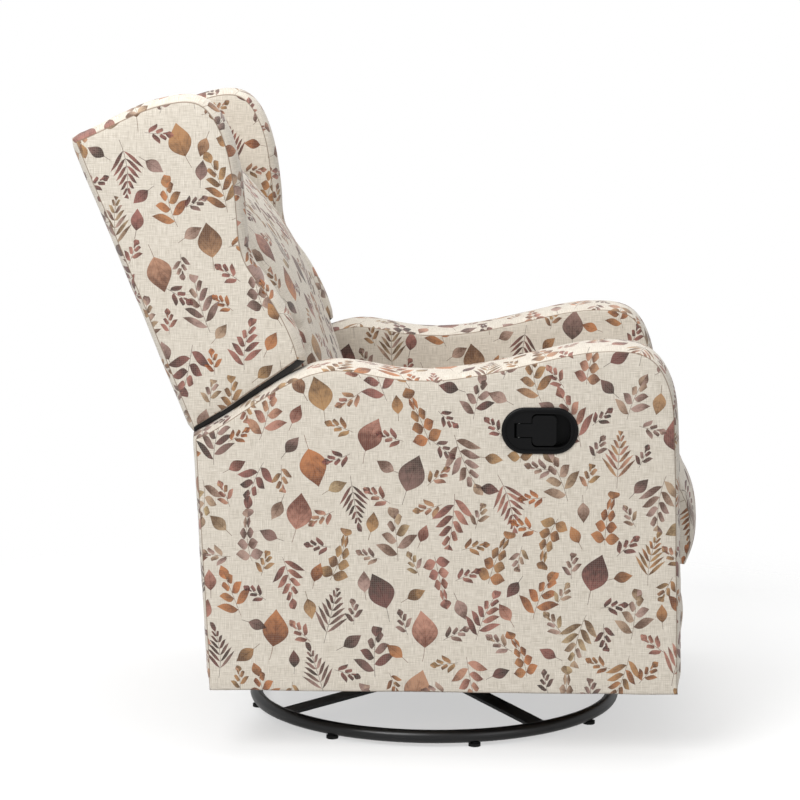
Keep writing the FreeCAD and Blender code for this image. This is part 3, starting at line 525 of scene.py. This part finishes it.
def arm(side):
    node = "arm_upholstery_" + side
    low, high, outline, crown = side_outline(node, side)
    outline = eased(outline, ARM_FRONT_EASE, ARM_REAR_EASE)
    piece = padded_slab("arm_cover_" + side, outline, low.x, high.x, crown, ARM_PUFF, ARM_CLOTH[side], low.z)
    ruffled(piece, *ARM_RUFFLE, ARM_SEED[side])
    if side == "right":
        handle_recess(piece)
    upholstered(piece, "chassis", [node])


def shade_underside(piece):
    """Paints a wing's lower edge, which faces the arm, black: painted shade for the shadowed gap between wing
    and arm.
    """
    for face in piece.data.polygons:
        down = -face.normal.z * math.cos(BACK_LEAN) - face.normal.y * math.sin(BACK_LEAN)
        if down > UNDERSIDE_SHADE_TURN and abs(face.normal.x) < UNDERSIDE_SHADE_SIDE:
            # Second material: black painted shade
            face.material_index = 1


def wing(side):
    node = "wing_" + side
    low, high, outline, crown = side_outline(node, side)
    up, forward = own_frame(outline)
    fullness = np.clip(1 - up / up.max(), 0, 1) * np.clip(1 - forward / WING_EASE_REACH, 0, 1)
    outline = outline + np.outer(fullness * WING_REAR_EASE, (math.cos(BACK_LEAN), -math.sin(BACK_LEAN)))
    piece = padded_slab("wing_cover_" + side, outline, low.x, high.x, crown, WING_PUFF, WING_CLOTH[side])
    ruffled(piece, *WING_RUFFLE, WING_SEED[side])
    shade_underside(piece)
    upholstered(piece, "back", [node])


for side in ("left", "right"):
    arm(side)
    wing(side)


def clear_of_frame(piece, plain):
    """Keeps the cushion above the seat frame, and its front roll in front of it."""
    frame_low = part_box("seat_frame")[0]
    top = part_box("seat_webbing")[1].z
    points = coordinates(piece.data)
    roll = plain[:, 2] < top
    points[roll, 1] = np.minimum(points[roll, 1], frame_low.y - FRAME_GAP)
    points[~roll, 2] = np.maximum(points[~roll, 2], top)
    set_coordinates(piece.data, points)


seat = padded_loft("seat_pad", "seat_cushion", SEAT_INSET, SEAT_PUFF)
plain = coordinates(seat.data)
inflated(seat, SEAT_SWELL)
held_within(seat, "seat_cushion", *SEAT_ROOM)
clear_of_frame(seat, plain)
ruffled(seat, *SEAT_RUFFLE)
upholstered(seat, "seat", ["seat_cushion"])

foot = padded_loft("footrest_pad", "footrest_cushion", FOOT_INSET, FOOT_PUFF, FOOT_CLOTH)
ruffled(foot, *FOOT_RUFFLE)
upholstered(foot, "footrest", ["footrest_cushion"])


def unrolled(piece, node):
    """Cloth coordinates by distance round the CAD solid's middle section, and its sides flat."""
    mesh = piece.data
    outline = section(node, 0.0)
    along = np.arange(0, arc_lengths(outline)[-1], ROUND_STEP)
    samples = at_lengths(outline, along)
    tree = KDTree(len(samples))
    for index, (y, z) in enumerate(samples):
        tree.insert((0, y, z), index)
    tree.balance()
    points = coordinates(mesh)
    around = np.array([along[tree.find((0, y, z))[1]] for _, y, z in points])
    layer = mesh.uv_layers.get("cloth") or mesh.uv_layers.new(name="cloth")
    for face in mesh.polygons:
        sideways = abs(face.normal.x) > SIDE_TURN
        first = around[face.vertices[0]]
        for loop in face.loop_indices:
            vertex = mesh.loops[loop].vertex_index
            place = points[vertex]
            turn = around[vertex]
            if abs(turn - first) > WRAP_JUMP:
                turn = first
            layer.data[loop].uv = (place[1], place[2]) if sideways else (place[0], turn)


def voxel_pad(name, node, voxel, shrink):
    """Closed pad from a CAD solid, remeshed evenly and drawn in a little."""
    mesh = frame["nodes"][node].data.copy()
    mesh.name = name
    mesh.materials.clear()
    piece = linked(name, mesh)
    bm = welded(mesh)
    bm.to_mesh(mesh)
    bm.free()
    remesh = piece.modifiers.new("even", "REMESH")
    remesh.mode = "VOXEL"
    remesh.voxel_size = voxel
    smooth = piece.modifiers.new("soft", "SMOOTH")
    smooth.iterations = SMOOTH_PASSES
    apply_modifiers(piece)
    final = piece.data
    final.shade_smooth()
    set_coordinates(final, coordinates(final) - normals_of(final) * shrink)
    seam = final.attributes.new("seam", "FLOAT", "POINT")
    seam.data.foreach_set("value", np.full(len(final.vertices), 1.0))
    return piece


back = voxel_pad("back_pad", "back_cushion", PAD_STEP, BACK_SHRINK)
inflated(back, BACK_SWELL)
held_within(back, "back_cushion", *BACK_ROOM)
ruffled(back, *BACK_RUFFLE)
unrolled(back, "back_cushion")
upholstered(back, "back", ["back_cushion"])


def flat_panel(name, node, body):
    """Thin padded panel with a rounded edge, on its CAD solid's place."""
    piece = voxel_pad(name, node, PANEL_STEP, 0.0)
    unrolled(piece, node)
    upholstered(piece, body, [node])


flat_panel("back_outer_cover", "back_outer_panel", "back")
flat_panel("rear_cover", "rear_panel", "chassis")


# Straps under the cushions

def loose_parts(node):
    """Corner points of each separate solid of a CAD node."""
    bm = welded(frame["nodes"][node].data)
    left = set(bm.verts)
    while left:
        group, edge = set(), [left.pop()]
        while edge:
            vertex = edge.pop()
            group.add(vertex)
            fresh = {e.other_vert(vertex) for e in vertex.link_edges} & left
            left -= fresh
            edge += fresh
        yield np.array([v.co for v in group])
    bm.free()


def webbing(name, node, body, axes):
    """Woven straps: each solid of the node becomes a ribbon with thick edges and a slight slack."""
    axes = np.array(axes)
    points, faces = [], []
    for corners in loose_parts(node):
        local = corners @ axes.T
        low, high = local.min(axis=0), local.max(axis=0)
        order = np.argsort(high - low)
        thin, wide, long = (int(k) for k in order)
        half = (high[thin] - low[thin]) / 2
        middle = (high[thin] + low[thin]) / 2
        first = len(points)
        for step in np.linspace(0, 1, STRAP_STEPS + 1):
            for across, rise in STRAP_PROFILE:
                place = np.zeros(3)
                place[long] = low[long] + (high[long] - low[long]) * step
                place[wide] = (high[wide] + low[wide]) / 2 + across * (high[wide] - low[wide]) / 2
                slack = STRAP_SLACK * half * math.sin(step * math.pi * SLACK_WAVES + across * SLACK_SKEW)
                place[thin] = middle + rise * half + slack
                points.append(tuple(place @ axes))
        count = len(STRAP_PROFILE)
        for ring in range(STRAP_STEPS):
            for k in range(count):
                a, b = first + ring * count + k, first + ring * count + (k + 1) % count
                faces.append((a, b, b + count, a + count))
        faces.append(tuple(range(first, first + count))[::-1])
        faces.append(tuple(range(first + STRAP_STEPS * count, first + (STRAP_STEPS + 1) * count)))
    mesh = bpy.data.meshes.new(name)
    mesh.from_pydata(points, [], faces)
    face_outward(mesh)
    piece = linked(name, mesh)
    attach(piece, body)
    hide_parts(node)
    return piece


straps = [webbing("seat_straps", "seat_webbing", "seat", UPRIGHT),
          webbing("back_straps", "back_webbing", "back", LEANING)]


# Materials

def linear(red, green, blue):
    """Display colour, 0 to 255, as the linear values that shaders take."""
    values = [c / 255 for c in (red, green, blue)]
    return tuple(c / 12.92 if c <= 0.04045 else ((c + 0.055) / 1.055) ** 2.4 for c in values) + (1.0,)


class Wire:
    """A number worked out by a material's math nodes."""

    def __init__(self, tree, socket):
        self.tree, self.socket = tree, socket

    def math(self, operation, *others, clamp=False):
        node = self.tree.nodes.new("ShaderNodeMath")
        node.operation = operation
        node.use_clamp = clamp
        for slot, value in enumerate((self,) + others):
            if isinstance(value, Wire):
                self.tree.links.new(value.socket, node.inputs[slot])
            else:
                node.inputs[slot].default_value = value
        return Wire(self.tree, node.outputs[0])

    def __add__(self, other):
        return self.math("ADD", other)

    def __sub__(self, other):
        return self.math("SUBTRACT", other)

    def __mul__(self, other):
        return self.math("MULTIPLY", other)

    def __truediv__(self, other):
        return self.math("DIVIDE", other)

    def floor(self):
        return self.math("FLOOR")

    def size(self):
        return self.math("ABSOLUTE")

    def clamped(self):
        """Held between 0 and 1."""
        return self.math("ADD", 0.0, clamp=True)

    def above(self, edge, soft):
        """0 below the edge, 1 above it by the softness."""
        return ((self - edge) / soft).clamped()

    def lesser(self, other):
        return self.math("MINIMUM", other)

    def greater(self, other):
        return self.math("MAXIMUM", other)


class Paint:
    """Builds one material's nodes."""

    def __init__(self, name):
        self.material = bpy.data.materials.new(name)
        self.material.use_nodes = True
        self.tree = self.material.node_tree
        self.shader = self.tree.nodes["Principled BSDF"]

    def node(self, kind, **inputs):
        made = self.tree.nodes.new(kind)
        for name, value in inputs.items():
            self.put(made.inputs[name.replace("_", " ")], value)
        return made

    def put(self, target, value):
        if isinstance(value, Wire):
            value = value.socket
        if isinstance(value, bpy.types.NodeSocket):
            self.tree.links.new(value, target)
        else:
            target.default_value = value

    def wire(self, socket):
        return Wire(self.tree, socket)

    def object_place(self):
        return self.tree.nodes.new("ShaderNodeTexCoord").outputs["Object"]

    def mix(self, share, a, b):
        made = self.tree.nodes.new("ShaderNodeMix")
        made.data_type = "RGBA"
        self.put(made.inputs[0], share)
        self.put(made.inputs[6], a)
        self.put(made.inputs[7], b)
        return made.outputs[2]

    def noise(self, vector, scale, detail=2.0, roughness=0.5):
        made = self.node("ShaderNodeTexNoise", Vector=vector, Scale=scale, Detail=detail, Roughness=roughness)
        return self.wire(made.outputs[0])

    def vector(self, x, y, z=0.0):
        made = self.tree.nodes.new("ShaderNodeCombineXYZ")
        for slot, value in enumerate((x, y, z)):
            self.put(made.inputs[slot], value)
        return made.outputs[0]

    def random(self, x, y, z=0.0):
        """Three even random numbers of a cell."""
        made = self.tree.nodes.new("ShaderNodeTexWhiteNoise")
        made.noise_dimensions = "3D"
        self.put(made.inputs["Vector"], self.vector(x, y, z))
        parts = self.tree.nodes.new("ShaderNodeSeparateColor")
        self.tree.links.new(made.outputs["Color"], parts.inputs[0])
        return [self.wire(o) for o in parts.outputs]

    def ramp(self, share, colours):
        made = self.tree.nodes.new("ShaderNodeValToRGB")
        self.put(made.inputs[0], share)
        stops = made.color_ramp
        stops.interpolation = "LINEAR"
        while len(stops.elements) < len(colours):
            stops.elements.new(0.5)
        for index, colour in enumerate(colours):
            stops.elements[index].position = index / (len(colours) - 1)
            stops.elements[index].color = colour
        return made.outputs[0]

    def bump(self, height, distance, strength=1.0, normal=None):
        made = self.node("ShaderNodeBump", Height=height, Distance=distance, Strength=strength)
        if normal is not None:
            self.put(made.inputs["Normal"], normal)
        return made.outputs[0]

    def finish(self, **inputs):
        for name, value in inputs.items():
            self.put(self.shader.inputs[name.replace("_", " ")], value)
        return self.material


# Printed cloth: the print is laid out in millimetres of cloth

GROUND = linear(205, 197, 184)
GROUND_DARK = linear(162, 152, 137)
GROUND_LIGHT = linear(234, 227, 216)
LEAF_DEEP = [linear(104, 44, 16), linear(88, 46, 20), linear(84, 56, 28), linear(96, 46, 34),
             linear(66, 24, 24), linear(28, 12, 12), linear(84, 54, 46), linear(92, 66, 34)]
LEAF_PALE = [linear(184, 112, 64), linear(166, 108, 64), linear(162, 126, 82), linear(178, 126, 108),
             linear(140, 84, 76), linear(88, 46, 44), linear(164, 134, 124), linear(170, 146, 106)]
THREAD_SHADE = 0.2
PRINT_TURN = 0.2
PRINT_CELL = (79.0, 97.0)
MM_PER_METRE = 1000.0
HARD = 0.001                    # softness of an edge that is a plain step
STEM_HALF = 0.55
STALK_HALF = 0.6
SPRAY_TAPER = 1.12
SPRAY_FIRST, SPRAY_LAST = 0.08, 0.93
WASH_SCALE, RAGGED_SCALE = 0.11, 0.8
VEINS_ALONG = 34.0
LEAF_INK, STEM_INK = 0.94, 0.75
THREAD_PITCH, GRID_PITCH = 1.5, 3.1
# Painted shadow: the colour that darkens the cloth along each seam, where its valley lies in shade
PAINTED_SEAM_SHADOW = linear(120, 100, 84)


def lens(share, width, fullness):
    """Half width of a leaf at a share of its length, widest before its middle."""
    return (share * math.pi).math("SINE") * width * (share * -fullness + 1.0 + fullness / 2)


def spray(up, across, length, pitch, reach, width, slant, alternate):
    """Leaves up both sides of a stem and one at its tip.

    Gives how deep a place lies in a leaf, its share along the leaf, the leaf's number,
    its distance from the leaf's vein, and how deep it lies in the stem."""
    side = across.above(0.0, HARD)
    out = across.size()
    base = up + length / 2 - out * slant
    if alternate:
        base = base - side * (pitch / 2)
    number = (base / pitch).floor()
    middle = (number + 0.5) * pitch
    place = middle / length
    along = out / ((place * -1.0 + SPRAY_TAPER) * reach).greater(1.0)
    off = (base - middle).size()
    depth = lens(along.lesser(1.0), width, 0.5) - off
    valid = place.above(SPRAY_FIRST, 0.01) * (place * -1.0).above(-SPRAY_LAST, 0.01)
    depth = depth * valid - (valid * -1.0 + 1.0)
    tip_along = ((up - length / 2 + 3.0) / (reach * 0.8)).clamped()
    tip = lens(tip_along, width, 0.5) - out
    at_tip = (tip - depth).above(0.0, HARD)
    off = off + (out - off) * at_tip
    share = along + (tip_along - along) * at_tip
    stem = (out * -1.0 + STEM_HALF).lesser(up + length / 2).lesser(up * -1.0 + length / 2)
    return depth.greater(tip), share, number + side * 0.37 + at_tip * 9.0, off, stem


def single(up, across, length, width):
    """One broad leaf on a short stem, with the same results as a spray."""
    share = ((up + length * 0.3) / length).clamped()
    depth = lens(share, width, 0.7) - across.size()
    stem = (across.size() * -1.0 + STALK_HALF).lesser(up + length * 0.66).lesser(up * -1.0 + length * 0.4)
    return depth, share, up * 0.0, across.size(), stem


# Motifs: what draws each, and its sizes in millimetres
LARGE_MOTIFS = [
    (spray, 80.0, 17.0, 31.0, 7.4, 0.8, True),
    (spray, 76.0, 18.5, 23.0, 9.4, 0.2, False),
    (single, 60.0, 20.0),
    (spray, 84.0, 11.5, 29.0, 4.5, 1.15, False),
    (spray, 66.0, 20.0, 33.0, 8.4, 0.55, True),
]
SMALL_MOTIFS = [
    (spray, 36.0, 13.0, 17.0, 5.4, 0.8, True),
    (single, 33.0, 9.5),
]


def motifs(paint, u, v, seed, cell, offset, stagger, turning, makers):
    """One lattice of motifs: each cell holds one, with its own kind, turn, size and colour."""
    a = (u * math.cos(PRINT_TURN) - v * math.sin(PRINT_TURN)) / cell[0] + offset[0]
    b = (u * math.sin(PRINT_TURN) + v * math.cos(PRINT_TURN)) / cell[1] + offset[1]
    column = a.floor()
    shift = (column * 0.5 - (column * 0.5).floor()) * 2 * stagger
    row = (b + shift).floor()
    pick, spin, tone = paint.random(column, row, seed)
    jitter, grow, flip = paint.random(row, column, seed + 7.0)
    x = (a - column - 0.5) * cell[0] - (jitter - 0.5) * 8.0
    y = (b + shift - row - 0.5) * cell[1]
    angle = (spin - 0.5) * turning + flip.above(0.75, HARD) * math.pi - PRINT_TURN
    sine, cosine = angle.math("SINE"), angle.math("COSINE")
    scale = grow * 0.22 + 0.88
    up = (x * sine + y * cosine) / scale
    across = (x * cosine - y * sine) / scale
    across = across - up * up * (jitter - 0.5) * 0.007
    kind = (pick * len(makers)).floor()
    results = None
    for index, (make, *sizes) in enumerate(makers):
        chosen = kind.math("COMPARE", float(index), 0.1)
        found = [value * chosen for value in make(up, across, *sizes)]
        hidden = (chosen - 1.0) * 50.0
        found[0], found[4] = found[0] + hidden, found[4] + hidden
        if results is None:
            results = found
        else:
            results = [results[0].greater(found[0]), results[1] + found[1], results[2] + found[2],
                       results[3] + found[3], results[4].greater(found[4])]
    return results + [tone, column, row]


def printed(paint, ground, u, v):
    """Leaves over a ground colour, with the pooled edges and washes of thin paint."""
    place = paint.vector(u, v)
    wash = paint.noise(place, WASH_SCALE, 3.0)
    ragged = (paint.noise(place, RAGGED_SCALE, 2.0) - 0.5) * 0.9
    width, height = PRINT_CELL
    lattices = [
        (11.0, PRINT_CELL, (0.0, 0.0), 0.5, 0.8, LARGE_MOTIFS),
        (23.0, (width, height / 2), (0.5, 0.25), 0.0, 3.0, SMALL_MOTIFS),
    ]
    colour = ground
    for lattice in lattices:
        depth, share, number, off, stem, tone, column, row = motifs(paint, u, v, *lattice)
        each, turn, dark = paint.random(number, column, row)
        hue = (tone * 0.9 + (each - 0.5) * 0.14 + 0.05).clamped()
        deep = paint.ramp(hue, LEAF_DEEP)
        pale = paint.ramp(hue, LEAF_PALE)
        fade = (turn.above(0.5, HARD) * -2.0 + 1.0) * (share - 0.5) * 1.4
        rim = (depth * -1.0 + 0.8).above(0.0, 0.7) * 0.45
        vein = (off * -1.0 + 0.4).above(0.0, 0.35) * 0.45
        vein = vein.greater((share * VEINS_ALONG - off * 0.9).math("SINE").above(0.55, 0.4) * 0.16)
        pooled = (wash * 1.5 - 0.4 + fade * 0.9 + (dark - 0.35) * 0.7 + rim + vein).clamped()
        leaf = paint.mix(pooled, pale, deep)
        shown = (depth + ragged).above(0.0, 0.5)
        colour = paint.mix(stem.above(0.0, 0.3) * STEM_INK, colour, deep)
        colour = paint.mix(shown * LEAF_INK, colour, leaf)
    return colour


def print_cloth():
    """The linen: slubby threads, the print, painted shadow along the seam lines, and the weave's relief."""
    paint = Paint("printed_linen")
    cloth = paint.tree.nodes.new("ShaderNodeUVMap")
    cloth.uv_map = "cloth"
    parts = paint.tree.nodes.new("ShaderNodeSeparateXYZ")
    paint.tree.links.new(cloth.outputs[0], parts.inputs[0])
    u = paint.wire(parts.outputs[0]) * MM_PER_METRE
    v = paint.wire(parts.outputs[1]) * MM_PER_METRE
    warp = paint.noise(paint.vector(u, v * 0.06), 0.9, 2.0)
    weft = paint.noise(paint.vector(u * 0.06, v), 0.9, 2.0)
    slub = ((warp - 0.52).greater(weft - 0.52) * 5.0).clamped()
    thin = ((warp * -1.0 + 0.46).greater(weft * -1.0 + 0.46) * 4.0).clamped()
    ground = paint.mix(slub * 0.6, GROUND, GROUND_DARK)
    ground = paint.mix(thin * 0.7, ground, GROUND_LIGHT)
    colour = printed(paint, ground, u, v)
    seam = paint.node("ShaderNodeAttribute")
    seam.attribute_name = "seam"
    from_seam = paint.wire(seam.outputs["Fac"]) * MM_PER_METRE
    # Painted shadow: a thin dark line along each seam, where the seam's valley lies in shade
    seam_shadow = (from_seam * -1.0).above(-1.1, 0.5)
    colour = paint.mix(seam_shadow * 0.75, colour, PAINTED_SEAM_SHADOW)
    threads_u = (u * (2 * math.pi / THREAD_PITCH)).math("SINE")
    threads_v = (v * (2 * math.pi / THREAD_PITCH)).math("SINE")
    grid_u = (u * (2 * math.pi / GRID_PITCH)).math("SINE")
    grid_v = (v * (2 * math.pi / GRID_PITCH)).math("SINE")
    grid = grid_u.greater(grid_v).above(0.62, 0.38)
    colour = paint.mix(grid * THREAD_SHADE, colour, GROUND_DARK)
    weave = threads_u * threads_v * 0.35 + (warp + weft) * 0.9
    normal = paint.bump(weave, 0.5 * MM, 0.55)
    pucker = (v * 0.35).math("SINE") * (from_seam * -1.0 / 9.0).math("EXPONENT")
    normal = paint.bump(pucker, 0.5 * MM, 0.5, normal)
    return paint.finish(Base_Color=colour, Roughness=0.92, Normal=normal, Sheen_Weight=0.25,
                        Sheen_Roughness=0.5, Specular_IOR_Level=0.2)


def worn_metal(name, base, light, roughness, metallic, grain=0.0):
    paint = Paint(name)
    place = paint.object_place()
    broad = paint.noise(place, 9.0, 4.0)
    fine = paint.noise(place, 900.0, 2.0)
    colour = paint.mix(broad * 0.6, base, light)
    rough = broad * 0.12 + (roughness - 0.06)
    normal = paint.bump(fine, 0.12 * MM, 0.35 + grain)
    return paint.finish(Base_Color=colour, Roughness=rough, Metallic=metallic, Normal=normal)


def woven_black(name, colour):
    paint = Paint(name)
    place = paint.object_place()
    weave = paint.node("ShaderNodeTexVoronoi", Vector=place, Scale=700.0)
    height = paint.wire(weave.outputs["Distance"])
    shade = paint.mix(paint.noise(place, 40.0) * 0.6, colour, linear(40, 40, 42))
    return paint.finish(Base_Color=shade, Roughness=0.95, Normal=paint.bump(height, 0.4 * MM, 0.6),
                        Sheen_Weight=0.15)


def plywood():
    paint = Paint("plywood")
    place = paint.object_place()
    stretched = paint.node("ShaderNodeMapping", Vector=place, Scale=(60.0, 60.0, 6.0)).outputs[0]
    grain = paint.noise(stretched, 3.0, 5.0, 0.6)
    colour = paint.mix(grain, linear(214, 178, 132), linear(170, 126, 82))
    return paint.finish(Base_Color=colour, Roughness=0.7, Normal=paint.bump(grain, 0.3 * MM, 0.4))


def moulded(name, base, roughness):
    paint = Paint(name)
    place = paint.object_place()
    grain = paint.noise(place, 1400.0, 2.0)
    cloudy = paint.noise(place, 25.0, 3.0)
    colour = paint.mix(cloudy * 0.5, base, linear(13, 13, 14))
    return paint.finish(Base_Color=colour, Roughness=cloudy * 0.14 + (roughness - 0.07),
                        Normal=paint.bump(grain, 0.08 * MM, 0.3), Specular_IOR_Level=0.2)


linen = print_cloth()
# Black painted shade for the wings' lower edges, where the gap above the arm lies in shadow
underside_shade = woven_black("painted_underside_shade", linear(12, 11, 11))
for piece in cloth_pieces:
    kinds = [face.material_index for face in piece.data.polygons]
    piece.data.materials.clear()
    piece.data.materials.append(linen)
    if any(kinds):
        piece.data.materials.append(underside_shade)
        piece.data.polygons.foreach_set("material_index", kinds)

finishes = {
    "frame_black": worn_metal("powder_coat", linear(7, 7, 8), linear(16, 16, 17), 0.34, 0.0, 0.2),
    "linkage": worn_metal("black_lacquer", linear(12, 12, 13), linear(24, 24, 25), 0.38, 0.0),
    "zinc": worn_metal("zinc_plate", linear(176, 178, 176), linear(206, 206, 200), 0.34, 1.0),
    "balls": worn_metal("bearing_steel", linear(200, 200, 202), linear(222, 222, 222), 0.14, 1.0),
    "pads": moulded("glide_plastic", linear(18, 18, 18), 0.55),
    "timber": plywood(),
    "backing": woven_black("dust_cloth", linear(18, 18, 19)),
    "straps": woven_black("strap_weave", linear(30, 30, 31)),
    "grip": moulded("satin_plastic", linear(4, 4, 5), 0.4),
}
for strap in straps:
    strap.data.materials.append(finishes["straps"])
for entry in frame["record"]["subparts"]:
    node = frame["nodes"][entry["node"]]
    finish = finishes.get(entry["material_slot"])
    if finish is None or node.hide_render:
        continue
    if not node.material_slots:
        node.data.materials.append(finish)
    for slot in node.material_slots:
        slot.material = finish


# Stage, light and camera

def stage():
    bpy.ops.mesh.primitive_plane_add(size=FLOOR_SIZE, location=(0, 0, 0))
    floor = bpy.context.object
    floor.name = "floor"
    paint = Paint("floor_white")
    place = paint.object_place()
    away = paint.node("ShaderNodeTexGradient", Vector=paint.node("ShaderNodeMapping", Vector=place,
                      Scale=(1 / FLOOR_FADE,) * 3).outputs[0])
    away.gradient_type = "SPHERICAL"
    solid = (paint.wire(away.outputs["Fac"]) * FLOOR_EDGE).lesser(FLOOR_SHOWN).clamped()
    floor.data.materials.append(paint.finish(Base_Color=FLOOR_WHITE, Roughness=0.9, Alpha=solid))


def area_light(name, place, aim, size, power):
    data = bpy.data.lights.new(name, "AREA")
    data.shape = "DISK"
    data.size = size
    data.energy = power
    light = linked(name, data)
    light.location = place
    light.rotation_euler = (Vector(aim) - Vector(place)).to_track_quat("-Z", "Y").to_euler()


def world():
    made = bpy.data.worlds.new("studio")
    bpy.context.scene.world = made
    made.use_nodes = True
    tree = made.node_tree
    background = tree.nodes["Background"]
    background.inputs["Color"].default_value = (1, 1, 1, 1)
    paths = tree.nodes.new("ShaderNodeLightPath")
    seen = tree.nodes.new("ShaderNodeMapRange")
    seen.inputs["To Min"].default_value = WORLD_LIGHT
    seen.inputs["To Max"].default_value = WORLD_SEEN
    tree.links.new(paths.outputs["Is Camera Ray"], seen.inputs["Value"])
    tree.links.new(seen.outputs[0], background.inputs["Strength"])


def camera():
    data = bpy.data.cameras.new("camera")
    data.sensor_width = SENSOR
    data.lens = CAMERA_LENS
    data.clip_end = CAMERA_REACH
    made = linked("camera", data)
    made.location = CAMERA_PLACE
    yaw, pitch = math.radians(CAMERA_YAW), math.radians(CAMERA_PITCH)
    made.rotation_euler = (math.pi / 2 + pitch, 0, yaw - math.pi / 2)
    bpy.context.scene.camera = made


stage()
world()
for light in LIGHTS:
    area_light(*light)
camera()
bpy.context.scene.view_settings.view_transform = "Standard"
